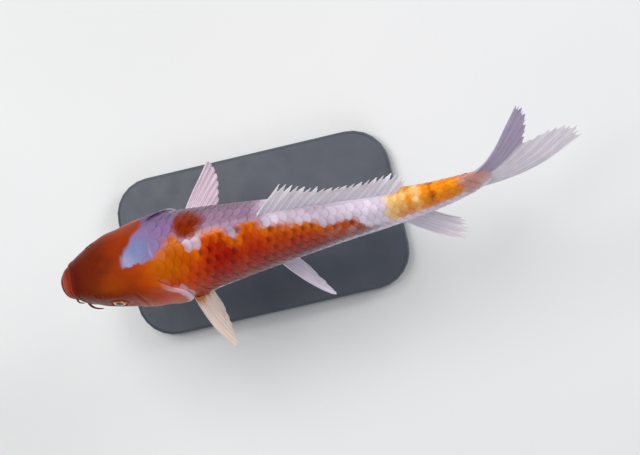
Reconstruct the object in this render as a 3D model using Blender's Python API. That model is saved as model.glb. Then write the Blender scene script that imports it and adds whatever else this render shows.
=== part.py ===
"""A koi carp as a still, life-size museum model on a plain display stand.

The fish swims towards -Y with its back up, turns its tail to its own right (-X) and rolls a little
to the right. The origin is the middle of the stand's underside. Lengths are in metres.
"""

import math

import bmesh
import bpy
import numpy as np
from mathutils import Matrix, Vector

# Driving dimensions
BODY_LENGTH = 0.215  # snout to the root of the tail fin
AXIS_HEIGHT = 0.104  # the body's axis above the floor
OVER_STAND = 0.43  # the share of the body's length that stands over the origin
GAP = 0.0003  # clearance between two pieces that touch

# The body. Each row: share of the length, back, belly and half width, as shares of the length
BODY_STATIONS = (
    (0.000, -0.020, -0.020, 0.000),
    (0.010, 0.004, -0.039, 0.030),
    (0.025, 0.018, -0.048, 0.040),
    (0.050, 0.033, -0.058, 0.055),
    (0.100, 0.056, -0.074, 0.076),
    (0.160, 0.079, -0.090, 0.090),
    (0.220, 0.098, -0.102, 0.102),
    (0.280, 0.113, -0.111, 0.102),
    (0.360, 0.126, -0.118, 0.091),
    (0.450, 0.131, -0.120, 0.078),
    (0.550, 0.127, -0.116, 0.064),
    (0.650, 0.112, -0.104, 0.052),
    (0.750, 0.092, -0.086, 0.043),
    (0.850, 0.072, -0.068, 0.032),
    (0.930, 0.061, -0.058, 0.0245),
    (1.000, 0.060, -0.058, 0.014),
)
# Where the body is widest, above or below its axis: share of the length, height
WIDEST_LEVEL = ((0.00, -0.020), (0.10, -0.018), (0.22, -0.020), (0.38, -0.010), (0.60, 0.0), (1.0, 0.0))
# How square the section's back and belly are: share of the length, back, belly
SECTION_SQUARENESS = (
    (0.00, 0.05, 0.03), (0.12, 0.09, 0.06), (0.28, 0.00, 0.08), (0.50, -0.03, 0.05), (1.0, 0.0, 0.0)
)
# The backbone's turn to the fish's right, and the body's roll to its right: share, degrees
BACKBONE_TURN = (
    (-0.05, 1.6), (0.20, 1.0), (0.40, 0.0), (0.50, -0.6), (0.65, -1.0), (0.75, -1.8),
    (0.82, -0.6), (0.88, 4.0), (0.94, 6.5), (1.00, 11.0), (1.06, 25.0), (1.15, 37.0), (1.35, 46.0),
)
BODY_ROLL = (
    (-0.05, 16.0), (0.20, 17.0), (0.45, 20.0), (0.80, 19.0), (1.00, 18.0), (1.15, 29.0), (1.35, 32.0)
)

# How the body is divided, and how finely
HEAD_END = 0.252  # at the back and the belly
GILL_BULGE = 0.048  # how much further the head reaches at the sides
TRUNK_END = 0.720
AROUND = 28

# Head
EYE_AT, EYE_AROUND = 0.128, 78.0
EYE_RADIUS = 0.0215
EYE_SUNK = 0.0150
GILL_COVER_AT, GILL_COVER_AROUND = 0.230, 93.0
GILL_COVER_HALF_LENGTH, GILL_COVER_HALF_HEIGHT = 0.056, 46.0
GILL_COVER_PROUD = (0.0002, 0.0014)  # at its front and rear edges
GILL_COVER_DEEP = 0.0016
MOUTH_SLOPE, MOUTH_LEVEL, MOUTH_CORNER = 26.0, -0.030, 0.050
# Feelers: name, share of the length, degrees round from the back, length, root radius
BARBELS = (("lip_barbel", 0.026, 102.0, 0.026, 0.0034), ("corner_barbel", 0.047, 124.0, 0.052, 0.0042))

# Fins. Lengths are shares of the body's length
RAY_THICKNESS, MEMBRANE_SHARE = 0.00095, 0.60
FIN_INSET = 0.012
# Back and belly fins. Each row: share of the base, ray length, slant tailward, lean to the right
DORSAL_BASE, DORSAL_RAYS = (0.500, 0.812), 20
DORSAL_SHAPE = (
    (0.00, 0.128, 38.0, 17.0), (0.12, 0.118, 38.0, 13.0), (0.35, 0.090, 40.0, 8.0),
    (0.60, 0.086, 42.0, 14.0), (0.85, 0.085, 44.0, 32.0), (1.00, 0.056, 48.0, 38.0),
)
ANAL_BASE, ANAL_RAYS = (0.795, 0.862), 8
ANAL_SHAPE = (
    (0.00, 0.152, 48.0, -46.0), (0.20, 0.168, 51.0, -48.0),
    (0.60, 0.138, 54.0, -52.0), (1.00, 0.098, 57.0, -56.0),
)
TAIL_RAYS, TAIL_ROOT_HALF, TAIL_SPREAD = 19, 0.055, 31.5
TAIL_MIDDLE, TAIL_UPPER_LOBE, TAIL_LOWER_LOBE = 0.142, 0.218, 0.262
FORK_ROUNDNESS = 1.15  # how softly the rays lengthen from the notch to the lobes
# Paired fins: share and degrees round of the root; length and half root; then the long axis,
# the half angle of the fan, and how level the chord lies at the root and at the tip
PECTORAL_ROOT, PECTORAL_SIZE, PECTORAL_RAYS = (0.318, 120.0), (0.182, 0.024), 15
LEFT_PECTORAL_POSE = ((0.76, 0.18, -0.62), 9.0, 0.95, 0.10)
RIGHT_PECTORAL_POSE = ((-0.63, 0.50, -0.59), 13.0, 0.95, 0.60)
PELVIC_ROOT, PELVIC_SIZE, PELVIC_RAYS = (0.526, 150.0), (0.165, 0.019), 9
LEFT_PELVIC_POSE = ((0.70, 0.50, -0.50), 7.0, 0.95, 0.05)
RIGHT_PELVIC_POSE = ((-0.42, 0.60, -0.68), 8.0, 0.80, 0.20)
PAIRED_SWEEP, PAIRED_CUP = 0.05, 0.04  # a tip's bend along the chord and off the face, as shares of length

# Stand
BASE_LENGTH, BASE_WIDTH, BASE_THICKNESS = 0.150, 0.086, 0.009
BASE_CORNER, BASE_BEVEL = 0.020, 0.0016
ROD_RADIUS, COLLAR_RADIUS, COLLAR_HEIGHT = 0.0021, 0.0060, 0.0035
ROD_STATIONS = (("front", 0.37), ("rear", 0.66))

# Materials: colour, roughness, metallic
MATERIALS = {
    "orange_skin": ((0.62, 0.16, 0.02, 1.0), 0.32, 0.25),
    "pearl_skin": ((0.80, 0.76, 0.78, 1.0), 0.32, 0.20),
    "gold_skin": ((0.78, 0.33, 0.05, 1.0), 0.30, 0.35),
    "pale_fin": ((0.82, 0.78, 0.78, 1.0), 0.40, 0.0),
    "eye": ((0.03, 0.025, 0.02, 1.0), 0.08, 0.0),
    "slate_paint": ((0.045, 0.050, 0.060, 1.0), 0.45, 0.0),
    "satin_steel": ((0.62, 0.63, 0.65, 1.0), 0.28, 1.0),
}


def eased(table, column, at):
    """A smooth curve through one column of a table of rows, read at a share of the length."""
    x = np.array([row[0] for row in table])
    y = np.array([row[column] for row in table])
    slopes = np.diff(y) / np.diff(x)
    tangents = np.concatenate([[slopes[0]], np.zeros(len(x) - 2), [slopes[-1]]])
    same_way = slopes[:-1] * slopes[1:] > 0
    before, after = slopes[:-1][same_way], slopes[1:][same_way]
    tangents[1:-1][same_way] = 2 * before * after / (before + after)
    at = min(max(at, x[0]), x[-1])
    i = min(int(np.searchsorted(x, at, side="right")) - 1, len(x) - 2)
    span = x[i + 1] - x[i]
    t = (at - x[i]) / span
    rise = (2 * t**3 - 3 * t**2 + 1) * y[i] + (3 * t**2 - 2 * t**3) * y[i + 1]
    return float(rise + span * ((t**3 - 2 * t**2 + t) * tangents[i] + (t**3 - t**2) * tangents[i + 1]))


# The snout is blunt, so its stations are spaced by the root of their distance from the tip
ROOTED_STATIONS = tuple((math.sqrt(row[0]), *row[1:]) for row in BODY_STATIONS)


def backbone(step=0.005, start=-0.05, end=1.40):
    """Points of the body's axis from ahead of the snout to the tips of the tail, in metres."""
    shares = np.arange(start, end + step, step)
    turns = np.radians([eased(BACKBONE_TURN, 1, s) for s in shares])
    forward = np.stack([-np.sin(turns), np.cos(turns)], axis=1) * step * BODY_LENGTH
    points = np.concatenate([[[0.0, 0.0]], np.cumsum(forward[:-1], axis=0)])
    home = [np.interp(OVER_STAND, shares, points[:, i]) for i in range(2)]
    return shares, points - home


BONE_SHARES, BONE_POINTS = backbone()


def frame_at(share):
    """The axis point, and the tailward, left and backward (dorsal) directions there."""
    x, y = (float(np.interp(share, BONE_SHARES, BONE_POINTS[:, i])) for i in range(2))
    turn = math.radians(eased(BACKBONE_TURN, 1, share))
    roll = math.radians(eased(BODY_ROLL, 1, share))
    tailward = Vector((-math.sin(turn), math.cos(turn), 0.0))
    level_left = Vector((math.cos(turn), math.sin(turn), 0.0))
    up = Vector((0.0, 0.0, 1.0))
    left = level_left * math.cos(roll) + up * math.sin(roll)
    dorsal = up * math.cos(roll) - level_left * math.sin(roll)
    return Vector((x, y, AXIS_HEIGHT)), tailward, left, dorsal


def place(share, side, height):
    """A point of the bent body from its share of the length and its left and dorsal offsets in metres."""
    centre, _, left, dorsal = frame_at(share)
    return centre + left * side + dorsal * height


def skin_point(share, degrees, grow=0.0):
    """A point of the skin, at an angle round from the middle of the back towards the left flank."""
    rooted = math.sqrt(max(share, 0.0))
    back, belly, half_width = (eased(ROOTED_STATIONS, i, rooted) * BODY_LENGTH for i in (1, 2, 3))
    level = eased(WIDEST_LEVEL, 1, share) * BODY_LENGTH
    a = math.radians(degrees)
    upness = 0.5 + 0.5 * math.cos(a)
    square = eased(SECTION_SQUARENESS, 1, share) * upness + eased(SECTION_SQUARENESS, 2, share) * (1 - upness)
    across = (math.sin(a) + square * math.sin(3 * a)) / (1 - square)
    reach = back - level if math.cos(a) > 0 else level - belly
    side = (half_width + grow) * across
    height = level + (reach + grow) * math.cos(a)
    return place(share, side, height)


def skin_normal(share, degrees):
    along = skin_point(share + 0.004, degrees) - skin_point(share - 0.004, degrees)
    round_ = skin_point(share, degrees + 2) - skin_point(share, degrees - 2)
    return round_.cross(along).normalized()


def paint(obj, material, smooth_below=38.0):
    """Gives an object its material and shades it smooth, but sharp at its real edges."""
    found = bpy.data.materials.get(material)
    if found is None:
        found = bpy.data.materials.new(material)
        found.use_nodes = True
        shader = found.node_tree.nodes["Principled BSDF"]
        colour, roughness, metallic = MATERIALS[material]
        shader.inputs["Base Color"].default_value = colour
        shader.inputs["Roughness"].default_value = roughness
        shader.inputs["Metallic"].default_value = metallic
    obj.data.materials.append(found)
    obj.data.shade_smooth()
    obj.data.set_sharp_from_angle(angle=math.radians(smooth_below))
    return obj


def object_of(bm, name):
    bmesh.ops.recalc_face_normals(bm, faces=bm.faces[:])
    if bm.calc_volume(signed=True) < 0:
        bmesh.ops.reverse_faces(bm, faces=bm.faces[:])
    mesh = bpy.data.meshes.new(name)
    bm.to_mesh(mesh)
    bm.free()
    obj = bpy.data.objects.new(name, mesh)
    bpy.context.scene.collection.objects.link(obj)
    return obj


def ringed(name, around, rings, point):
    """A closed body from a sphere: point(ring, degrees) places each vertex; rings 0 and last are its poles."""
    bm = bmesh.new()
    bmesh.ops.create_uvsphere(bm, u_segments=around, v_segments=rings, radius=1.0)
    for vert in bm.verts:
        ring = round(math.acos(max(-1.0, min(1.0, vert.co.z))) / math.pi * rings)
        vert.co = point(ring, math.degrees(math.atan2(vert.co.y, vert.co.x)))
    return object_of(bm, name)


def as_cutter(obj):
    obj.hide_render = True
    obj.display_type = "WIRE"
    return obj


def combine(obj, other, operation):
    """Adds a live Boolean with another object."""
    modifier = obj.modifiers.new(f"{operation.lower()} {other.name}", "BOOLEAN")
    modifier.operation = operation
    modifier.object = other
    modifier.solver = "EXACT"
    return obj


def body_length(name, front, rear, rings):
    """A length of the body from a function of the angle round to a station."""

    def station(ring, degrees):
        first = front(degrees)
        return first + (rear - first) * (ring - 1) / (rings - 2)

    def point(ring, degrees):
        if ring == 0:
            return place(station(1, 90.0), 0.0, eased(WIDEST_LEVEL, 1, station(1, 90.0)) * BODY_LENGTH)
        if ring == rings:
            return place(station(rings - 1, 0.0), 0.0, 0.0)
        return skin_point(station(ring, degrees), degrees)

    return ringed(name, AROUND, rings, point)


def head_rear(degrees):
    """Where the head ends: further back at the sides, along the gill covers' edges."""
    return HEAD_END + GILL_BULGE * math.sin(math.radians(degrees)) ** 2


def behind_head(degrees):
    return head_rear(degrees) + GAP / BODY_LENGTH


def behind_trunk(degrees):
    return TRUNK_END + GAP / BODY_LENGTH


def snout_first(front):
    """The head's own rings start just behind the tip, and its pole is the tip itself."""
    rings = 16

    def point(ring, degrees):
        if ring == 0:
            return place(0.0, 0.0, eased(WIDEST_LEVEL, 1, 0.0) * BODY_LENGTH)
        if ring == rings:
            return place(HEAD_END, 0.0, 0.0)
        share = front + (head_rear(degrees) - front) * ((ring - 1) / (rings - 2)) ** 1.5
        return skin_point(share, degrees)

    return ringed("head", AROUND, rings, point)


def whole_body(grow):
    """The whole body, a little larger than it is, to cut what must stay clear of it."""
    rings = 34

    def point(ring, degrees):
        if ring in (0, rings):
            tip = -grow / BODY_LENGTH if ring == 0 else 1.0 + grow / BODY_LENGTH
            return place(tip, 0.0, eased(WIDEST_LEVEL, 1, min(max(tip, 0.0), 1.0)) * BODY_LENGTH)
        share = 0.002 + (0.998 + grow / BODY_LENGTH) * ((ring - 1) / (rings - 2)) ** 1.3
        beyond = frame_at(1.0)[1] * max(0.0, share - 1.0) * BODY_LENGTH
        return skin_point(min(share, 1.0), degrees, grow) + beyond

    return as_cutter(ringed("body_clearance", 40, rings, point))


def gill_cover_point(side, deep, proud, wider=0.0):
    """A thick patch of the head's side: outer rings, then inner rings, from middle to rim and back."""
    half_rings = 4

    def point(ring, degrees):
        outer = ring <= half_rings
        spread = (ring if outer else 2 * half_rings + 1 - ring) / half_rings
        turn = math.radians(degrees)
        wider_round = math.degrees(wider / (0.1 * BODY_LENGTH))
        share = GILL_COVER_AT + spread * (GILL_COVER_HALF_LENGTH + wider / BODY_LENGTH) * math.cos(turn)
        round_ = GILL_COVER_AROUND + spread * (GILL_COVER_HALF_HEIGHT + wider_round) * math.sin(turn)
        rearward = 0.5 + 0.5 * spread * math.cos(turn)
        rise = proud[0] + (proud[1] - proud[0]) * rearward**2
        return skin_point(share, side * round_, rise if outer else -deep)

    return point, 2 * half_rings + 1


def eye_centre(side):
    normal = skin_normal(EYE_AT, side * EYE_AROUND)
    return skin_point(EYE_AT, side * EYE_AROUND) - normal * EYE_SUNK * BODY_LENGTH, normal


def ball(name, centre, direction, radius, around=14, rings=8):
    """A sphere whose pole faces a direction."""
    turn = direction.to_track_quat("Z", "Y").to_matrix()

    def point(ring, degrees):
        polar, a = math.pi * ring / rings, math.radians(degrees)
        local = Vector((math.sin(polar) * math.cos(a), math.sin(polar) * math.sin(a), math.cos(polar)))
        return centre + turn @ local * radius

    return ringed(name, around, rings, point)


def jaw_wedge(name, clearance):
    """The space under the line of the mouth, ahead of its corners, as a slanted block."""
    centre, tailward, left, dorsal = frame_at(MOUTH_CORNER)
    bm = bmesh.new()
    bmesh.ops.create_cube(bm, size=1.0)
    length, depth, width = 0.14 * BODY_LENGTH, 0.10 * BODY_LENGTH, 0.30 * BODY_LENGTH
    bmesh.ops.scale(bm, vec=(width, length + 2 * clearance, depth + 2 * clearance), verts=bm.verts[:])
    bmesh.ops.translate(bm, vec=(0.0, -length / 2, -depth / 2), verts=bm.verts[:])
    slope = Matrix.Rotation(math.radians(-MOUTH_SLOPE), 3, "X")
    bmesh.ops.rotate(bm, cent=(0, 0, 0), matrix=slope, verts=bm.verts[:])
    axes = Matrix((left, tailward, dorsal)).transposed()
    corner = centre + dorsal * (MOUTH_LEVEL - 0.018) * BODY_LENGTH
    bmesh.ops.transform(bm, matrix=Matrix.Translation(corner) @ axes.to_4x4(), verts=bm.verts[:])
    return as_cutter(object_of(bm, name))


def barbel(name, side, share, degrees, length, radius):
    """A tapering feeler that hangs from the lip, bends back and ends blunt."""
    rings, around = 9, 8
    root = skin_point(share, side * degrees)
    normal = skin_normal(share, side * degrees)
    _, tailward, _, dorsal = frame_at(share)
    bend = (tailward * 0.55 - dorsal * 0.75).normalized()

    def path(t):
        out = normal * (0.35 * math.sin(min(t, 1.0) * math.pi * 0.6)) + bend * t * (0.4 + 0.6 * t)
        return root - normal * 0.006 * BODY_LENGTH * (1 - t) + out * length * BODY_LENGTH

    def point(ring, angle):
        t = (ring - 1) / (rings - 2)
        if ring in (0, rings):
            return path(0.0 if ring == 0 else 1.0)
        along = (path(t + 0.02) - path(t - 0.02)).normalized()
        side_way = along.cross(Vector((0, 0, 1))).normalized()
        other = along.cross(side_way)
        thick = radius * BODY_LENGTH * (1 - 0.62 * t)
        a = math.radians(angle)
        return path(t) + (side_way * math.cos(a) + other * math.sin(a)) * thick

    return ringed(name, around, rings, point)


def fin(name, rays, rows, notch, point):
    """A thin corrugated sheet: point(across, along) places it, with a ray in every second column."""
    bm = bmesh.new()
    columns = 2 * (rays - 1)
    bmesh.ops.create_grid(bm, x_segments=columns, y_segments=rows, size=0.5)
    stiff = []
    bm.verts.index_update()
    for vert in bm.verts:
        across, along = vert.co.x + 0.5, vert.co.y + 0.5
        on_ray = round(across * columns) % 2 == 0
        stiff.append(1.0 if on_ray else 0.0)
        vert.co = point(across, along * (1.0 if on_ray else 1.0 - notch))
    obj = object_of(bm, name)
    group = obj.vertex_groups.new(name="rays")
    for index, weight in enumerate(stiff):
        group.add([index], weight, "REPLACE")
    thicken = obj.modifiers.new("thickness", "SOLIDIFY")
    thicken.thickness = RAY_THICKNESS
    thicken.offset = 0.0
    thicken.vertex_group = "rays"
    thicken.thickness_vertex_group = MEMBRANE_SHARE
    return obj


def median_fin_point(base, shape, upper):
    """A fin on the back or the belly: its rays slant tailward and lean over as they rise."""
    level = 1 if upper else 2
    sign = 1.0 if upper else -1.0

    def point(across, along):
        root = base[0] + (base[1] - base[0]) * across
        length, slant, lean = (eased(shape, column, across) for column in (1, 2, 3))
        tilt = math.radians(slant * (0.80 + 0.20 * along))
        sway = math.radians(lean * (0.40 + 0.60 * along))
        reach = (length + FIN_INSET) * along - FIN_INSET
        edge = eased(ROOTED_STATIONS, level, math.sqrt(root)) * sign
        share = root + reach * math.sin(tilt)
        side = -math.sin(sway) * reach * math.cos(tilt)
        height = sign * (edge + math.cos(sway) * reach * math.cos(tilt))
        return place(share, side * BODY_LENGTH, height * BODY_LENGTH)

    return point


def tail_point(across, along):
    """The forked tail: rays fan out from the root, longest near each lobe's edge."""
    split = 1 - 2 * across
    edge = abs(split)
    lobe = TAIL_UPPER_LOBE if split > 0 else TAIL_LOWER_LOBE
    fork = math.sin(min(edge * 1.12, 1.0) * math.pi / 2) ** FORK_ROUNDNESS
    length = TAIL_MIDDLE + (lobe - TAIL_MIDDLE) * fork
    spread = math.radians(TAIL_SPREAD) * split * (1.0 - 0.22 * along)
    reach = (length + FIN_INSET) * along - FIN_INSET
    share = 1.0 + reach * math.cos(spread)
    height = TAIL_ROOT_HALF * split + reach * math.sin(spread)
    cup = 0.014 * along * along * (edge - 0.4)
    return place(share, cup * BODY_LENGTH, height * BODY_LENGTH)


def paired_fin_point(root, side, size, pose):
    """A twisted paddle from its root on the flank. A pose is the long axis, the half angle of the
    fan in degrees, and how level the chord lies at the root and at the tip."""
    length, half_root = size
    axis, fan, root_level, tip_level = pose
    centre = skin_point(root[0], side * root[1])
    axis = Vector(axis).normalized()
    level = Vector((-axis.y, axis.x, 0.0)).normalized() * side
    steep = (Vector((0.0, 0.0, -1.0)) + axis * axis.z).normalized()

    def point(across, along):
        flat = root_level + (tip_level - root_level) * along
        chord = level * flat + steep * math.sqrt(1 - flat**2)
        face = axis.cross(chord)
        split = 2 * across - 1
        ray = length * (1 - 0.42 * across**1.6) * (1 - 0.14 * (1 - across) ** 4)
        angle = math.radians(fan) * split
        reach = (ray + FIN_INSET) * along - FIN_INSET
        out = axis * math.cos(angle) + chord * math.sin(angle)
        curl = chord * PAIRED_SWEEP * along * along * length
        curl += face * PAIRED_CUP * length * (along * along - 0.3 * split * split * along)
        return centre + (chord * half_root * split + out * reach + curl) * BODY_LENGTH

    return point


def stand_base():
    """A flat plate with round corners and eased edges."""
    bm = bmesh.new()
    bmesh.ops.create_cube(bm, size=1.0)
    bmesh.ops.scale(bm, vec=(BASE_WIDTH, BASE_LENGTH, BASE_THICKNESS), verts=bm.verts[:])
    bmesh.ops.translate(bm, vec=(0, 0, BASE_THICKNESS / 2), verts=bm.verts[:])
    upright = [e for e in bm.edges if abs(e.verts[0].co.z - e.verts[1].co.z) > BASE_THICKNESS / 2]
    bmesh.ops.bevel(bm, geom=upright, offset=BASE_CORNER, segments=6, profile=0.5, affect="EDGES", material=-1)
    rims = [e for e in bm.edges if abs(e.verts[0].co.z - e.verts[1].co.z) < 1e-6 and len(e.link_faces) == 2]
    bmesh.ops.bevel(bm, geom=rims, offset=BASE_BEVEL, segments=2, profile=0.5, affect="EDGES", material=-1)
    return paint(object_of(bm, "stand_base"), "slate_paint", 30.0)


def stand_rod(name, share, clearance):
    """A turned rod with a collar at its foot, cut on top to the belly it carries."""
    centre = frame_at(share)[0]
    foot = BASE_THICKNESS + GAP
    collar_top = foot + COLLAR_HEIGHT
    outline = (
        (0.0, foot), (COLLAR_RADIUS, foot), (COLLAR_RADIUS, foot + 0.6 * COLLAR_HEIGHT),
        (0.75 * COLLAR_RADIUS, collar_top), (ROD_RADIUS, collar_top),
        (ROD_RADIUS, AXIS_HEIGHT), (0.0, AXIS_HEIGHT),
    )
    bm = bmesh.new()
    verts = [bm.verts.new((radius, 0.0, height)) for radius, height in outline]
    edges = [bm.edges.new(pair) for pair in zip(verts, verts[1:])]
    bmesh.ops.spin(
        bm, geom=verts + edges, cent=(0, 0, 0), axis=(0, 0, 1), angle=math.tau, steps=16,
        use_merge=True, use_duplicate=False,
    )
    bmesh.ops.remove_doubles(bm, verts=bm.verts[:], dist=1e-6)
    bmesh.ops.translate(bm, vec=(centre.x, centre.y, 0), verts=bm.verts[:])
    return combine(paint(object_of(bm, name), "satin_steel", 30.0), clearance, "DIFFERENCE")


def build():
    for obj in list(bpy.data.objects):
        bpy.data.objects.remove(obj)
    clearance = whole_body(GAP)

    head = paint(snout_first(0.002), "orange_skin")
    lower_jaw = paint(snout_first(0.002), "orange_skin")
    lower_jaw.name = "lower_jaw"
    combine(lower_jaw, jaw_wedge("mouth_below", 0.0), "INTERSECT")
    combine(head, jaw_wedge("mouth_slit", GAP), "DIFFERENCE")
    for side, word in ((1.0, "left"), (-1.0, "right")):
        centre, outward = eye_centre(side)
        paint(ball(f"eye_{word}", centre, outward, EYE_RADIUS * BODY_LENGTH), "eye")
        socket = ball(f"socket_{word}", centre, outward, EYE_RADIUS * BODY_LENGTH + GAP)
        combine(head, as_cutter(socket), "DIFFERENCE")
        point, rings = gill_cover_point(side, GILL_COVER_DEEP, GILL_COVER_PROUD)
        paint(ringed(f"gill_cover_{word}", 18, rings, point), "orange_skin")
        point, rings = gill_cover_point(side, GILL_COVER_DEEP + GAP, (0.003, 0.003), GAP)
        combine(head, as_cutter(ringed(f"gill_recess_{word}", 18, rings, point)), "DIFFERENCE")
        for name, *shape in BARBELS:
            feeler = paint(barbel(f"{name}_{word}", side, *shape), "orange_skin")
            combine(feeler, clearance, "DIFFERENCE")

    paint(body_length("trunk", behind_head, TRUNK_END, 16), "pearl_skin")
    paint(body_length("tail_stalk", behind_trunk, 1.0, 10), "gold_skin")

    fins = [
        fin("dorsal_fin", DORSAL_RAYS, 4, 0.07, median_fin_point(DORSAL_BASE, DORSAL_SHAPE, True)),
        fin("anal_fin", ANAL_RAYS, 3, 0.06, median_fin_point(ANAL_BASE, ANAL_SHAPE, False)),
        fin("tail_fin", TAIL_RAYS, 5, 0.045, tail_point),
    ]
    for side, word, pectoral, pelvic in (
        (1.0, "left", LEFT_PECTORAL_POSE, LEFT_PELVIC_POSE),
        (-1.0, "right", RIGHT_PECTORAL_POSE, RIGHT_PELVIC_POSE),
    ):
        front = paired_fin_point(PECTORAL_ROOT, side, PECTORAL_SIZE, pectoral)
        rear = paired_fin_point(PELVIC_ROOT, side, PELVIC_SIZE, pelvic)
        fins.append(fin(f"pectoral_fin_{word}", PECTORAL_RAYS, 4, 0.05, front))
        fins.append(fin(f"pelvic_fin_{word}", PELVIC_RAYS, 3, 0.06, rear))
    for made in fins:
        combine(paint(made, "pale_fin"), clearance, "DIFFERENCE")

    stand_base()
    for word, share in ROD_STATIONS:
        stand_rod(f"stand_rod_{word}", share, clearance)


build()
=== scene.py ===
import math

import bmesh
import bpy
import numpy as np
from mathutils import Matrix, Vector


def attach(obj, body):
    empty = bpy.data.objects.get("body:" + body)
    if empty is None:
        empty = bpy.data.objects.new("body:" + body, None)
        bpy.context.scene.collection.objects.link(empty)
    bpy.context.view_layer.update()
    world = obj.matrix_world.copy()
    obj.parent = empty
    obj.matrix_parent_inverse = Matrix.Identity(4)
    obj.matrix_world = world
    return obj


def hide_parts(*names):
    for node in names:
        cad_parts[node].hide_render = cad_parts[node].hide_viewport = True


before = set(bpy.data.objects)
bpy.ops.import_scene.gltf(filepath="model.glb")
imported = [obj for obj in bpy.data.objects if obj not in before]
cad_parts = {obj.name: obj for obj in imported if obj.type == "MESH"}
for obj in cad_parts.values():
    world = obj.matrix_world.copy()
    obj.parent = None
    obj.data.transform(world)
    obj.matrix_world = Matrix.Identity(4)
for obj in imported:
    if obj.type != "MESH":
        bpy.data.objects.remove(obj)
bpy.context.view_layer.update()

# ---------------------------------------------------------------------------------------------
# Display stand: a flat aluminium plate with a satin slate coat, and two turned steel rods that
# end just under the belly. They keep their machined shapes and get their finishes here.

SLATE = (0.046, 0.056, 0.078, 1.0)
SLATE_DUST = (0.062, 0.073, 0.096, 1.0)
STEEL = (0.58, 0.59, 0.61, 1.0)
BRIGHT_STEEL = (0.68, 0.69, 0.71, 1.0)


def finish(name, settings):
    """A new material, its node tree and its Principled shader, with the settings that stay even."""
    material = bpy.data.materials.new(name)
    material.use_nodes = True
    shader = material.node_tree.nodes["Principled BSDF"]
    shader.inputs["Coat Roughness"].default_value = 0.08
    for setting, value in settings.items():
        shader.inputs[setting].default_value = value
    return material, material.node_tree, shader


def noise(tree, scale, detail=3.0, stretch=(1.0, 1.0, 1.0)):
    """Smooth noise over the object's own coordinates, in metres, as a socket."""
    place_node = tree.nodes.new("ShaderNodeTexCoord")
    mapping = tree.nodes.new("ShaderNodeMapping")
    mapping.inputs["Scale"].default_value = stretch
    cloud = tree.nodes.new("ShaderNodeTexNoise")
    cloud.inputs["Scale"].default_value = scale
    cloud.inputs["Detail"].default_value = detail
    tree.links.new(place_node.outputs["Object"], mapping.inputs["Vector"])
    tree.links.new(mapping.outputs["Vector"], cloud.inputs["Vector"])
    return cloud.outputs["Fac"]


def ranged(tree, value, low, high, start=0.3, stop=0.7):
    """A value's middle range mapped to a range of another."""
    node = tree.nodes.new("ShaderNodeMapRange")
    settings = (("From Min", start), ("From Max", stop), ("To Min", low), ("To Max", high))
    for name, number in settings:
        node.inputs[name].default_value = number
    tree.links.new(value, node.inputs["Value"])
    return node.outputs["Result"]


def blend(tree, share, first, second, kind="MIX"):
    """Two colours, each a socket or a plain colour, mixed by a share that is a socket or a number."""
    node = tree.nodes.new("ShaderNodeMix")
    node.data_type = "RGBA"
    node.blend_type = kind
    for socket, given in ((node.inputs[0], share), (node.inputs[6], first), (node.inputs[7], second)):
        if isinstance(given, bpy.types.NodeSocket):
            tree.links.new(given, socket)
        else:
            socket.default_value = given
    return node.outputs[2]


def raised(tree, height, strength, distance, under=None):
    """A bump from a height socket, over another bump if there is one."""
    node = tree.nodes.new("ShaderNodeBump")
    node.inputs["Strength"].default_value = strength
    node.inputs["Distance"].default_value = distance
    tree.links.new(height, node.inputs["Height"])
    if under is not None:
        tree.links.new(under, node.inputs["Normal"])
    return node.outputs["Normal"]


def grained(tree, shader, gloss, *bumps):
    """Roughness that wanders between two values, under fine bumps laid over each other."""
    scale, low, high = gloss
    tree.links.new(ranged(tree, noise(tree, scale), low, high), shader.inputs["Roughness"])
    normal = None
    for scale, detail, strength, distance in bumps:
        normal = raised(tree, noise(tree, scale, detail), strength, distance, normal)
    tree.links.new(normal, shader.inputs["Normal"])


def slate_coat():
    """Satin paint with a fine even tooth and a little unevenness in its gloss."""
    material, tree, shader = finish("slate_coat", {})
    mottle = blend(tree, ranged(tree, noise(tree, 60.0), 0.0, 1.0), SLATE, SLATE_DUST)
    tree.links.new(mottle, shader.inputs["Base Color"])
    grained(tree, shader, (140.0, 0.36, 0.50), (2600.0, 2.0, 0.25, 0.00006))
    return material


def turned_steel():
    """Bright steel with the fine rings that turning leaves round the rod."""
    material, tree, shader = finish("turned_steel", {"Metallic": 1.0})
    rings = noise(tree, 220.0, 4.0, (1.0, 1.0, 30.0))
    shade = blend(tree, ranged(tree, rings, 0.0, 1.0), STEEL, BRIGHT_STEEL)
    tree.links.new(shade, shader.inputs["Base Color"])
    tree.links.new(ranged(tree, rings, 0.20, 0.34), shader.inputs["Roughness"])
    tree.links.new(raised(tree, rings, 0.15, 0.00003), shader.inputs["Normal"])
    return material


def refinish(node, material):
    """Gives a carried-over piece a new finish on each of its material slots."""
    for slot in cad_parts[node].material_slots:
        slot.material = material


refinish("stand_base", slate_coat())
rod_steel = turned_steel()
for rod in ("stand_rod_front", "stand_rod_rear"):
    refinish(rod, rod_steel)

# ---------------------------------------------------------------------------------------------
# Skin: the whole body from lips to tail root as one closed skin, cast in resin and painted. It
# carries the lips, nostrils, eye rims, gill covers and feelers, and lies under the scales by
# their depth. Its shape comes from the body's stations, bent and rolled as the fish turns.

BODY_LENGTH = 0.215  # snout to the root of the tail fin
AXIS_HEIGHT = 0.104
OVER_STAND = 0.43
MM = 0.001
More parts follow.
